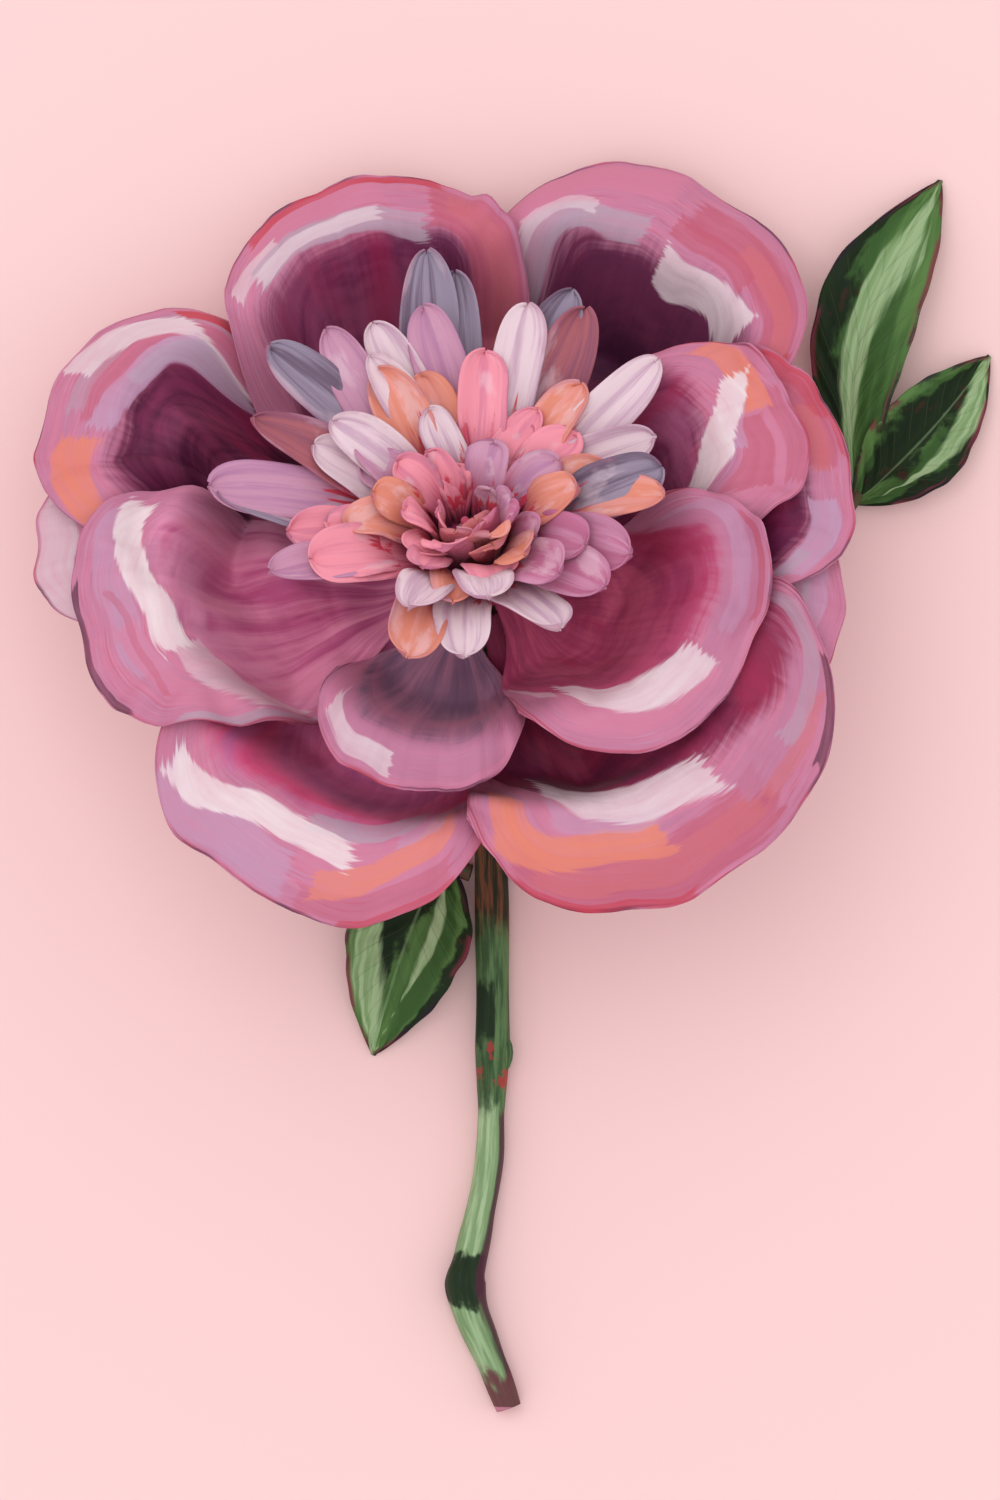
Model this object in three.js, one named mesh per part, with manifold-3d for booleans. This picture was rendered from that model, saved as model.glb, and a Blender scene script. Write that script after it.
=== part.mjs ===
// A cut peony flower, laid down on a table with its bloom turned up.
// Nine broad guard petals and three inner ones stand in a bowl round a tuft of staminodes, the narrow
// petal-like stamens of this kind of peony, with the carpels in the middle. Five sepals back the bloom.
// The stem bends just under the bloom, lies along the table and carries two leaves.
// Millimetres and degrees, +Z up. The table is the plane z = 0.
import * as THREE from "three";
import { mergeVertices } from "three/addons/utils/BufferGeometryUtils.js";
import Module from "manifold-3d";

const wasm = await Module();
wasm.setup();

// Driving sizes
const TILT = 23; // the bloom's axis leans this far from upright, towards +Y
const BLOOM_HEIGHT = 20.5; // the middle of the petals' base, above the table
const ORIGIN_SHIFT = [-7.94, 35.46, 0]; // brings the middle of the whole flower over the origin
const GAP = 0.3; // between a piece and its seat
const PETAL_THICKNESS = 0.8;
const SEPAL_THICKNESS = 1.0;
const RECEPTACLE_RADIUS = 8.5;
const RECEPTACLE_TOP = 13; // above the petals' base, as all heights in the bloom's frame
const ROOT_RADIUS = RECEPTACLE_RADIUS + GAP + 0.2; // where every petal starts

// Petals and sepals from the lowest to the highest, in polar sizes round the bloom's axis: the azimuth
// of the middle line, half the angle that the petal spans, and the reach of its tip from the axis.
// The bowl rises by depth from belly to crest, which are shares of the reach. The margin past the crest
// turns out and drops. The belly sags below the base, the sides curl up, and the sides end at the share
// 1 - fall of the way out.
const SEPAL = {
  base: -3.2, sag: 1, depth: 3, belly: 0.2, crest: 0.9, drop: 0.5, curl: 0, ripple: 0.2, fall: 0.6,
};
const GUARD = {
  base: 0, sag: 3, depth: 24, belly: 0.45, crest: 0.82, drop: 5, curl: 1.5, ripple: 1.1, fall: 0.42,
};
const WIDE_GUARD = { ...GUARD, depth: 25, drop: 7, fall: 0.32 };
const INNER = {
  base: 4, sag: 0, depth: 25, belly: 0.3, crest: 0.86, drop: 4, curl: 1.5, ripple: 0.9, fall: 0.42,
};
const LAYERS = [
  { ...SEPAL, name: "sepal_1", azimuth: 20, spread: 30, reach: 27 },
  { ...SEPAL, name: "sepal_2", azimuth: 92, spread: 30, reach: 25 },
  { ...SEPAL, name: "sepal_3", azimuth: 164, spread: 30, reach: 28 },
  { ...SEPAL, name: "sepal_4", azimuth: 236, spread: 30, reach: 25 },
  { ...SEPAL, name: "sepal_5", azimuth: 308, spread: 30, reach: 29 },
  { ...GUARD, name: "guard_petal_1", azimuth: 180, spread: 19, reach: 76.8, depth: 22, crest: 0.84 },
  { ...GUARD, name: "guard_petal_2", azimuth: 158, spread: 28, reach: 80, depth: 23, crest: 0.83, drop: 6 },
  { ...GUARD, name: "guard_petal_3", azimuth: 57, spread: 33, reach: 82, crest: 0.79, sag: 18, drop: 6 },
  { ...GUARD, name: "guard_petal_4", azimuth: 346, spread: 28, reach: 67, crest: 0.85 },
  { ...GUARD, name: "guard_petal_5", azimuth: 241, spread: 35, reach: 76.5, depth: 25, crest: 0.8, fall: 0.38 },
  { ...GUARD, name: "guard_petal_6", azimuth: 14, spread: 33, reach: 69 },
  { ...GUARD, name: "guard_petal_7", azimuth: 109, spread: 33, reach: 74.5, depth: 23, crest: 0.85, sag: 18 },
  { ...WIDE_GUARD, name: "guard_petal_8", azimuth: 309, spread: 39.3, reach: 77, crest: 0.72 },
  { ...GUARD, name: "guard_petal_9", azimuth: 196.5, spread: 30, reach: 71, depth: 26, crest: 0.76 },
  { ...INNER, name: "inner_petal_1", azimuth: 256, spread: 32, reach: 50, depth: 23 },
  { ...INNER, name: "inner_petal_2", azimuth: 22, spread: 28, reach: 62, crest: 0.78 },
  { ...INNER, name: "inner_petal_3", azimuth: 329, spread: 45, reach: 55.5, depth: 27, crest: 0.8 },
];
const ROOT_SPREAD = 0.6; // a petal's width at its root, as a share of its full angle
const WIDEST_AT = 0.6; // share of the way out along its side where a petal is at its full angle
const TIP_SHARE = 0.3; // the tip's own width, as a share of the full angle
const RIPPLES = 2.3; // waves along a petal's margin, from side to side
const MARGIN = 14; // the turned-out margin's width

// Lengths that keep one petal clear of the next
const BASE_CLEARANCE = 1.45; // from one petal's middle surface to the next, near the root
const BOWL_CLEARANCE = 3.8; // where the bowl is steep
const COVER_FULL = 6; // a petal holds up what is above it out to this far past its edge
const COVER_END = 18; // and not at all from here on
const SOFTNESS = 2; // rounds the line along which a petal starts to rest on another

// Whorls of staminodes from the outermost in. Tips stand at reach and height, further out and lower by
// lean on the side that the tuft leans to. Blades also stand closer together on that side.
const WHORLS = [
  { count: 14, root: 9.2, reach: 39, height: 32.5, lean: 12.5, width: 9, phase: 14 },
  { count: 13, root: 8.4, reach: 32.5, height: 34, lean: 11, width: 8.8, phase: 2 },
  { count: 12, root: 7.6, reach: 25, height: 35, lean: 9.5, width: 8, phase: 12 },
  { count: 11, root: 6.8, reach: 19, height: 35.5, lean: 8.5, width: 7.4, phase: 0 },
  { count: 9, root: 6, reach: 13.5, height: 35.5, lean: 7.5, width: 7, phase: 17 },
  { count: 7, root: 5.2, reach: 9, height: 34.5, lean: 5.5, width: 6.4, phase: 2 },
  { count: 4, root: 4.8, reach: 5.6, height: 33, lean: 3.5, width: 5.8, phase: 30 },
];
const TUFT_LEANS_TO = 108; // azimuth
const CROWDING = 12; // the most that a blade's azimuth moves towards that side
// How far chance may move a blade in all: its place as a share of its step, its reach and height, the
// twist of its tip and its sway to one side
const CHANCE = { place: 0.5, reach: 5, height: 5, twist: 50, sway: 30 };
const STAMINODE_THICKNESS = 0.8;
const STAMINODE_SEED = 33;
const DISC = { radius: 10.6, low: RECEPTACLE_TOP + GAP, high: 18 }; // the staminodes grow from it

const STEM_SIDES = 12;
const LEAF_THICKNESS = 0.8;

// Small mathematics
const rad = (degrees) => (degrees * Math.PI) / 180;
const clamp01 = (x) => Math.min(1, Math.max(0, x));
const mix = (a, b, t) => a + (b - a) * t;
const smooth = (from, to, x) => {
  const t = clamp01((x - from) / (to - from));
  return t * t * (3 - 2 * t);
};
const wrapDegrees = (a) => ((((a + 180) % 360) + 360) % 360) - 180;
// x where it is positive and 0 where it is negative, rounded between -k and k
const positivePart = (x, k) => (x >= k ? x : x <= -k ? 0 : (x + k) ** 2 / (4 * k));
const sinTilt = Math.sin(rad(TILT));
const cosTilt = Math.cos(rad(TILT));
function seededRandom(seed) {
  let state = seed;
  return () => {
    state = (state * 1103515245 + 12345) % 2147483648;
    return state / 2147483648;
  };
}

// Petal surfaces, as heights over the polar plane of the bloom
const outline = (p, d) =>
  ROOT_RADIUS + (p.reach - ROOT_RADIUS) * (1 - p.fall * Math.min(1, Math.abs(d)) ** 3);
function halfAngle(p, r) {
  const s = clamp01((r - ROOT_RADIUS) / (p.reach - ROOT_RADIUS));
  const sideEnd = 1 - p.fall;
  if (s < sideEnd) return p.spread * mix(ROOT_SPREAD, 1, smooth(0, WIDEST_AT, s / sideEnd));
  return p.spread * Math.max(TIP_SHARE, Math.cbrt((1 - s) / p.fall));
}

// How far a petal would stand up at (r, azimuth) with no other petal under it
function freeHeight(p, r, azimuth) {
  const d = wrapDegrees(azimuth - p.azimuth) / p.spread;
  const across = Math.min(1, Math.abs(d));
  const length = (p.reach - ROOT_RADIUS) * (1 - 0.12 * across ** 2);
  const s = (r - ROOT_RADIUS) / length;
  const rise = p.depth * smooth(p.belly, p.crest, s);
  const sag = p.sag * Math.sin(Math.PI * clamp01(s / 0.85)) ** 2;
  const toEdge = clamp01(1 - (outline(p, d) - r) / MARGIN);
  const turnedOut = p.drop * toEdge ** 2 * smooth(0.3, 0.7, s);
  const curl = p.curl * across ** 4 * s;
  const wave = p.ripple * s ** 2 * Math.sin(Math.PI * RIPPLES * d + p.azimuth);
  return p.base + rise - sag - turnedOut + curl + wave;
}

// 1 where petal p holds up what is above it, falling to 0 away from its edge
function cover(p, r, azimuth) {
  const off = Math.abs(wrapDegrees(azimuth - p.azimuth));
  const pastTip = r - outline(p, off / p.spread);
  const pastSide = rad(off - halfAngle(p, r)) * r;
  return 1 - smooth(COVER_FULL, COVER_END, Math.max(pastTip, pastSide));
}

// The height of the table in the bloom's frame, for the middle surface of a petal that lies on it
const tableHeight = (y, thickness) => (thickness / 2 - BLOOM_HEIGHT + y * sinTilt) / cosTilt;

// Heights of the layers up to number last at (r, azimuth): each rests on those below it
function stackedHeight(last, r, azimuth) {
  const y = r * Math.sin(rad(azimuth));
  const clearance = mix(BASE_CLEARANCE, BOWL_CLEARANCE, smooth(20, 40, r));
  const heights = [];
  for (let i = 0; i <= last; i++) {
    let height = freeHeight(LAYERS[i], r, azimuth);
    for (let j = 0; j < i; j++) {
      const held = cover(LAYERS[j], r, azimuth);
      if (held > 0) height += held * positivePart(heights[j] + clearance - height, SOFTNESS);
    }
    const table = tableHeight(y, PETAL_THICKNESS);
    heights.push(table + Math.max(0, height - table));
  }
  return heights[last];
}

// Geometry helpers
const toManifold = (geometry) => {
  const bare = geometry.index ? geometry.toNonIndexed() : geometry.clone();
  bare.deleteAttribute("normal");
  bare.deleteAttribute("uv");
  const merged = mergeVertices(bare, 1e-4);
  return new wasm.Manifold(
    new wasm.Mesh({
      numProp: 3,
      vertProperties: merged.attributes.position.array,
      triVerts: new Uint32Array(merged.index.array),
    }),
  );
};
function fromManifold(solid) {
  const mesh = solid.getMesh();
  const geometry = new THREE.BufferGeometry();
  geometry.setAttribute("position", new THREE.BufferAttribute(mesh.vertProperties, 3));
  geometry.setIndex(new THREE.BufferAttribute(mesh.triVerts, 1));
  geometry.computeVertexNormals();
  return geometry;
}
function closedGeometry(vertices, triangles) {
  const geometry = new THREE.BufferGeometry();
  geometry.setAttribute("position", new THREE.Float32BufferAttribute(vertices.flat(), 3));
  geometry.setIndex(triangles.flat());
  geometry.computeVertexNormals();
  return geometry;
}

// A closed blade round the grid of middle points rows[j][i], i across and j along. Each cell is split
// along its shorter diagonal, alike on both faces.
function bladeGeometry(rows, thickness) {
  const across = rows[0].length;
  const along = rows.length;
  const vertices = [];
  for (const side of [0.5, -0.5])
    for (let j = 0; j < along; j++)
      for (let i = 0; i < across; i++) {
        const du = rows[j][Math.min(i + 1, across - 1)].clone().sub(rows[j][Math.max(i - 1, 0)]);
        const dv = rows[Math.min(j + 1, along - 1)][i].clone().sub(rows[Math.max(j - 1, 0)][i]);
        const normal = du.cross(dv).normalize();
        vertices.push(rows[j][i].clone().addScaledVector(normal, side * thickness).toArray());
      }
  const top = (i, j) => j * across + i;
  const under = (i, j) => top(i, j) + across * along;
  const triangles = [];
  for (let j = 0; j + 1 < along; j++)
    for (let i = 0; i + 1 < across; i++) {
      const [a, b, c, d] = [[i, j], [i + 1, j], [i + 1, j + 1], [i, j + 1]];
      const forward = rows[j][i].distanceTo(rows[j + 1][i + 1]);
      const backward = rows[j][i + 1].distanceTo(rows[j + 1][i]);
      const halves = forward <= backward ? [[a, b, c], [a, c, d]] : [[a, b, d], [b, c, d]];
      for (const [p, q, r] of halves) {
        triangles.push([top(...p), top(...q), top(...r)]);
        triangles.push([under(...p), under(...r), under(...q)]);
      }
    }
  const edge = [];
  for (let i = 0; i < across; i++) edge.push([i, 0]);
  for (let j = 1; j < along; j++) edge.push([across - 1, j]);
  for (let i = across - 2; i >= 0; i--) edge.push([i, along - 1]);
  for (let j = along - 2; j > 0; j--) edge.push([0, j]);
  edge.forEach((a, k) => {
    const b = edge[(k + 1) % edge.length];
    triangles.push([top(...a), under(...a), under(...b)], [top(...a), under(...b), top(...b)]);
  });
  return closedGeometry(vertices, triangles);
}

// A closed round stem along a curve, with its radius given along it and a flat side below
function stemGeometry(curve, radiusAt, steps, sides) {
  const vertices = [];
  const triangles = [];
  for (let j = 0; j <= steps; j++) {
    const t = j / steps;
    const centre = curve.getPoint(t);
    const tangent = curve.getTangent(t);
    const level = new THREE.Vector3(1, 0, 0).addScaledVector(tangent, -tangent.x).normalize();
    const other = tangent.clone().cross(level);
    for (let k = 0; k < sides; k++) {
      const angle = ((k + 0.5) / sides) * 2 * Math.PI;
      const spoke = level.clone().multiplyScalar(Math.cos(angle)).addScaledVector(other, Math.sin(angle));
      vertices.push(centre.clone().addScaledVector(spoke, radiusAt(t)).toArray());
    }
  }
  for (let j = 0; j < steps; j++)
    for (let k = 0; k < sides; k++) {
      const a = j * sides + k;
      const b = j * sides + ((k + 1) % sides);
      triangles.push([a, b, b + sides], [a, b + sides, a + sides]);
    }
  const last = steps * sides;
  for (let k = 1; k + 1 < sides; k++)
    triangles.push([0, k + 1, k], [last, last + k, last + k + 1]);
  return closedGeometry(vertices, triangles);
}
const curveThrough = (points) =>
  new THREE.CatmullRomCurve3(points.map((p) => new THREE.Vector3(...p)), false, "centripetal");
const interpolate = (values) => (t) => {
  const x = clamp01(t) * (values.length - 1);
  const k = Math.min(values.length - 2, Math.floor(x));
  return mix(values[k], values[k + 1], x - k);
};

// Materials
const finish = (color, roughness) => new THREE.MeshStandardMaterial({ color, roughness, metalness: 0 });
const MATERIALS = {
  guard: finish(0xc2618c, 0.55),
  inner: finish(0xa03a68, 0.55),
  staminode: finish(0xe89ab0, 0.6),
  carpel: finish(0xb98a72, 0.5),
  sepal: finish(0x4c6b3a, 0.6),
  stem: finish(0x5f8a50, 0.55),
  leaf: finish(0x2f6034, 0.45),
};
function namedMesh(name, geometry, material) {
  const mesh = new THREE.Mesh(geometry, material);
  mesh.name = name;
  return mesh;
}

// Petals and sepals, in rows at the same radii for all, so that the facets of one petal follow the next
const RINGS = [ROOT_RADIUS, 20, 30, 37, 42, 47, 52, 57, 62, 67, 73];
const PETAL_ACROSS = 9; // cells across a petal of the usual spread
const SEPAL_ACROSS = 4;
const USUAL_SPREAD = 32;
const LAST_CELL = 3; // the shortest row allowed before the tip
function petalGeometry(number) {
  const p = LAYERS[number];
  const isSepal = p.name.startsWith("sepal");
  const across = isSepal ? SEPAL_ACROSS : Math.round((PETAL_ACROSS * p.spread) / USUAL_SPREAD);
  const rings = [...RINGS.filter((r) => r < p.reach - LAST_CELL), p.reach];
  const rows = rings.map((r) =>
    Array.from({ length: across + 1 }, (_, i) => {
      const azimuth = p.azimuth + halfAngle(p, r) * (1 - (2 * i) / across);
      const x = r * Math.cos(rad(azimuth));
      const y = r * Math.sin(rad(azimuth));
      return new THREE.Vector3(x, y, stackedHeight(number, r, azimuth));
    }),
  );
  return bladeGeometry(rows, isSepal ? SEPAL_THICKNESS : PETAL_THICKNESS);
}

// Staminodes: blades that rise from the disc and bend outwards, each a little to one side, with a
// rounded, cupped tip
const BLADE_STATIONS = [0, 0.35, 0.62, 0.86, 1];
function staminodeGeometry(whorl, azimuth, random) {
  const lean = whorl.lean * Math.cos(rad(azimuth - TUFT_LEANS_TO));
  const reach = whorl.reach + lean + CHANCE.reach * (random() - 0.5);
  const height = whorl.height - 0.5 * lean + CHANCE.height * (random() - 0.5);
  const width = whorl.width * mix(0.85, 1.15, random());
  const twist = rad(CHANCE.twist * (random() - 0.5));
  const sway = rad(CHANCE.sway * (random() - 0.5));
  const out = new THREE.Vector3(Math.cos(rad(azimuth)), Math.sin(rad(azimuth)), 0);
  const level = new THREE.Vector3(-out.y, out.x, 0);
  const path = new THREE.QuadraticBezierCurve3(
    out.clone().multiplyScalar(whorl.root).setZ(DISC.low + 2),
    out.clone().multiplyScalar(mix(whorl.root, reach, 0.2)).setZ(mix(DISC.high, height, 0.93)),
    out.clone().addScaledVector(level, Math.tan(sway)).multiplyScalar(reach).setZ(height),
  );
  const rows = BLADE_STATIONS.map((t) => {
    const centre = path.getPoint(t);
    const tangent = path.getTangent(t);
    const square = level.clone().addScaledVector(tangent, -level.dot(tangent)).normalize();
    const side = square.applyAxisAngle(tangent, twist * t);
    const face = side.clone().cross(tangent).normalize();
    const half = (width / 2) * mix(0.28, 1, smooth(0.1, 0.8, t)) * (t > 0.9 ? 0.45 : 1);
    const cup = 0.14 * width * t;
    return [1, 0, -1].map((u) =>
      centre.clone().addScaledVector(side, u * half).addScaledVector(face, -cup * u * u),
    );
  });
  return bladeGeometry(rows, STAMINODE_THICKNESS);
}
function staminodes() {
  const random = seededRandom(STAMINODE_SEED);
  const profile = [
    [0, DISC.low],
    [DISC.radius - 1, DISC.low],
    [DISC.radius, DISC.low + 1.2],
    [DISC.radius - 2.2, DISC.high - 1.2],
    [4.4, DISC.high],
    [0, DISC.high],
  ].map(([x, y]) => new THREE.Vector2(x, y));
  const disc = new THREE.LatheGeometry(profile, 20).rotateX(Math.PI / 2);
  const solids = [toManifold(disc)];
  for (const whorl of WHORLS)
    for (let k = 0; k < whorl.count; k++) {
      const even = whorl.phase + ((k + CHANCE.place * (random() - 0.5)) * 360) / whorl.count;
      const azimuth = even - CROWDING * Math.sin(rad(even - TUFT_LEANS_TO));
      solids.push(toManifold(staminodeGeometry(whorl, azimuth, random)));
    }
  // A hollow that the blades seal between them is filled, so only the outer form is kept
  const [tuft] = wasm.Manifold.union(solids).decompose().sort((a, b) => b.volume() - a.volume());
  return fromManifold(tuft);
}

// Carpels: flasks that lean together on a small base, on top of the disc
const CARPELS = 4;
const CARPEL_RADIUS = 1.7;
function carpels() {
  const low = DISC.high + GAP;
  const base = new THREE.CylinderGeometry(3.2, 3.6, 1.4, 16).rotateX(Math.PI / 2).translate(0, 0, low + 0.7);
  const solids = [toManifold(base)];
  for (let k = 0; k < CARPELS; k++) {
    const angle = ((k + 0.3) / CARPELS) * 2 * Math.PI;
    const at = (r, z) => [r * Math.cos(angle), r * Math.sin(angle), low + z];
    const path = curveThrough([at(1.5, 0.5), at(1.7, 3), at(1.4, 6), at(1.7, 8)]);
    const radiusAt = interpolate([CARPEL_RADIUS, CARPEL_RADIUS * 1.05, CARPEL_RADIUS * 0.75, 0.8, 0.7]);
    solids.push(toManifold(stemGeometry(path, radiusAt, 6, 8)));
  }
  return fromManifold(wasm.Manifold.union(solids));
}

// The stem with its receptacle, in the table's frame with the bloom's middle over (0, 0)
const STEM_PATH = [
  [0, -0.2, 20],
  [0, -3.4, 12.6],
  [0.6, -9.5, 6.2],
  [2, -20, 4],
  [3.4, -36, 3.6],
  [3.8, -52, 3.6],
  [4, -68, 3.8],
  [4, -82, 3.8],
  [3.8, -94, 3.4],
  [3.4, -103, 3.1],
  [1.7, -112.5, 3],
  [0.1, -120, 3.2],
  [-0.8, -124.5, 3.7],
  [0, -129, 3.5],
  [2.3, -135, 3],
  [4.6, -140.5, 2.8],
  [7, -147, 2.45],
];
const STEM_RADII = [3.4, 3.5, 3.2, 3.1, 3.1, 3, 3, 3.05, 2.4, 2.5, 2.7, 3, 3.6, 3.35, 2.85, 2.65, 2.3];
const STEM_STEPS = 48;
const RECEPTACLE_PROFILE = [
  [0, -9.5],
  [3.3, -9.5],
  [4.4, -7],
  [7.2, -4.6],
  [RECEPTACLE_RADIUS, -3.6],
  [RECEPTACLE_RADIUS, RECEPTACLE_TOP],
  [0, RECEPTACLE_TOP],
];
const BUD = { at: [6.3, -83.5, 4.2], size: [1.4, 3.4, 1.5] }; // a small side bud on the stem
const toTable = (geometry) => geometry.rotateX(-rad(TILT)).translate(0, 0, BLOOM_HEIGHT);
function stem() {
  const profile = RECEPTACLE_PROFILE.map(([x, y]) => new THREE.Vector2(x, y));
  const receptacle = toTable(new THREE.LatheGeometry(profile, 24).rotateX(Math.PI / 2));
  const shaft = stemGeometry(curveThrough(STEM_PATH), interpolate(STEM_RADII), STEM_STEPS, STEM_SIDES);
  const bud = new THREE.SphereGeometry(1, 8, 6).scale(...BUD.size).translate(...BUD.at);
  return fromManifold(wasm.Manifold.union([receptacle, shaft, bud].map(toManifold)));
}

// Leaves: pointed blades, folded a little along the midrib, on round petioles
const LEAF_ALONG = 10;
const LEAF_ACROSS = 6;
function leafBlade({ base, tip, width, bend, arch, lean, widest }) {
  const start = new THREE.Vector3(...base);
  const run = new THREE.Vector3(...tip).sub(start);
  const length = run.length();
  const side = new THREE.Vector3(run.y, -run.x, 0).normalize();
  const rows = [];
  for (let j = 0; j <= LEAF_ALONG; j++) {
    const t = j / LEAF_ALONG;
    const toWidest = (Math.PI / 2) * (t / widest);
    const pastWidest = (Math.PI / 2) * ((t - widest) / (1 - widest));
    const shape = t < widest ? Math.sin(toWidest) ** 0.8 : Math.cos(pastWidest) ** 0.85;
    const half = Math.max(0.5, (width / 2) * shape);
    const row = [];
    for (let i = 0; i <= LEAF_ACROSS; i++) {
      const u = 1 - (2 * i) / LEAF_ACROSS;
      const point = start.clone().addScaledVector(run, t);
      point.addScaledVector(side, -u * half + bend * length * Math.sin(Math.PI * t));
      const fold = 0.22 * half * Math.abs(u) * (1 - 0.5 * t);
      const wave = 0.05 * half * Math.abs(u) * Math.sin(9 * t + 2 * Math.sign(u));
      point.z += arch * Math.sin(Math.PI * t) + fold + wave + lean * u * half * Math.sin(Math.PI * t);
      point.z = Math.max(LEAF_THICKNESS / 2, point.z);
      row.push(point);
    }
    rows.push(row);
  }
  return bladeGeometry(rows, LEAF_THICKNESS);
}
const LEAVES = [
  {
    name: "leaf_right",
    petiole: [
      [8, -50.5, 3.4],
      [14, -46, 2.6],
      [30, -31, 2.2],
      [50, -9, 2.4],
      [63, 7, 2.8],
      [70, 17.5, 2.6],
    ],
    radii: [1.7, 1.4, 1.25, 1.2, 1.2, 1.1],
    blades: [
      {
        base: [69.3, 16.5, 2.4], tip: [84.6, 73.6, 1.2],
        width: 18, bend: -0.115, arch: 6, lean: -0.12, widest: 0.58,
      },
      {
        base: [69.2, 15.4, 2.2], tip: [93.4, 42, 1.2],
        width: 17, bend: 0.03, arch: 4, lean: 0.15, widest: 0.42,
      },
    ],
  },
  {
    name: "leaf_left",
    petiole: [
      [0.15, -50.9, 3.3],
      [-2.9, -50.1, 3],
      [-4.6, -50.6, 2.6],
      [-6.6, -53.6, 2.3],
    ],
    radii: [1.6, 1.4, 1.3, 1.1],
    blades: [
      {
        base: [-4.6, -47.5, 2.6], tip: [-17.4, -83.6, 0.9],
        width: 21.5, bend: 0.03, arch: 4, lean: 0.1, widest: 0.4,
      },
    ],
  },
];
function leaf({ petiole, radii, blades }) {
  const stalk = stemGeometry(curveThrough(petiole), interpolate(radii), 14, 8);
  return fromManifold(wasm.Manifold.union([stalk, ...blades.map(leafBlade)].map(toManifold)));
}

// Assembly
const bloom = new THREE.Group();
bloom.rotation.x = -rad(TILT);
bloom.position.z = BLOOM_HEIGHT;
LAYERS.forEach((p, number) => {
  const material = MATERIALS[p.name.split("_")[0]];
  bloom.add(namedMesh(p.name, petalGeometry(number), material));
});
bloom.add(namedMesh("staminodes", staminodes(), MATERIALS.staminode));
bloom.add(namedMesh("carpels", carpels(), MATERIALS.carpel));

const peony = new THREE.Group();
peony.position.set(...ORIGIN_SHIFT);
peony.add(bloom, namedMesh("stem", stem(), MATERIALS.stem));
for (const shape of LEAVES) peony.add(namedMesh(shape.name, leaf(shape), MATERIALS.leaf));

export default peony;
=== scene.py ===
# A cut peony lying on a pale floor, seen from straight above.
# The solids of the frame give every piece its place. Petals, sepals, staminodes, carpels, leaves and stem
# are made again here from the same formulas, with fine meshes and materials made of nodes.
# Sizes are in millimetres and degrees until a mesh is made, which is in metres.
import math
import bpy
import numpy as np
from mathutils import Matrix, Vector


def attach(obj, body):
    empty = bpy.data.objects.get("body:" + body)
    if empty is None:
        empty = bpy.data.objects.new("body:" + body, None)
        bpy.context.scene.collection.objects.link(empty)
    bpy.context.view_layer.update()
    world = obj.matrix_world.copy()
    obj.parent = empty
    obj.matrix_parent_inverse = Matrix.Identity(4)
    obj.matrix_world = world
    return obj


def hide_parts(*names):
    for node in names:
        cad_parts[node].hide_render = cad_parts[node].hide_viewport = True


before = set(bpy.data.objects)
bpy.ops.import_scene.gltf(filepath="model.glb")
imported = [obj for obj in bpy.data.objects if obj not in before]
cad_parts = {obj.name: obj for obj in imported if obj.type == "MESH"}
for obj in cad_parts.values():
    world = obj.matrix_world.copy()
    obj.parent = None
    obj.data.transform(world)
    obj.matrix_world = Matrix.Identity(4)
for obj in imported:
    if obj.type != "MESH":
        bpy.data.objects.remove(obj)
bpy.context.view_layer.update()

# The camera looks straight down on the flower
MM = 0.001
PHOTO_HEIGHT = 270.0  # the photograph's long side, as a length on the floor
PHOTO_CENTRE = (-2.54, 6.66)
LENS = 250.0
SENSOR = 36.0


def make_camera():
    data = bpy.data.cameras.new("camera")
    data.lens = LENS
    data.sensor_width = SENSOR
    camera = bpy.data.objects.new("camera", data)
    distance = PHOTO_HEIGHT * LENS / SENSOR
    camera.location = Vector((*PHOTO_CENTRE, distance)) * MM
    bpy.context.scene.collection.objects.link(camera)
    bpy.context.scene.camera = camera


make_camera()

# Driving sizes, as in the solids
TILT = math.radians(23)  # the bloom's axis leans this far from upright, towards +Y
BLOOM_HEIGHT = 20.5  # the middle of the petals' base, above the floor
ORIGIN_SHIFT = np.array([-7.94, 35.46, 0.0])  # brings the middle of the whole flower over the origin
GAP = 0.3  # between a piece and its seat
RECEPTACLE_RADIUS = 8.5
RECEPTACLE_TOP = 13.0  # above the petals' base, as all heights in the bloom's frame
ROOT_RADIUS = RECEPTACLE_RADIUS + GAP + 0.2  # where every petal starts
SOLID_PETAL_THICKNESS = 0.8
SOLID_SEPAL_THICKNESS = 1.0

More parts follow.
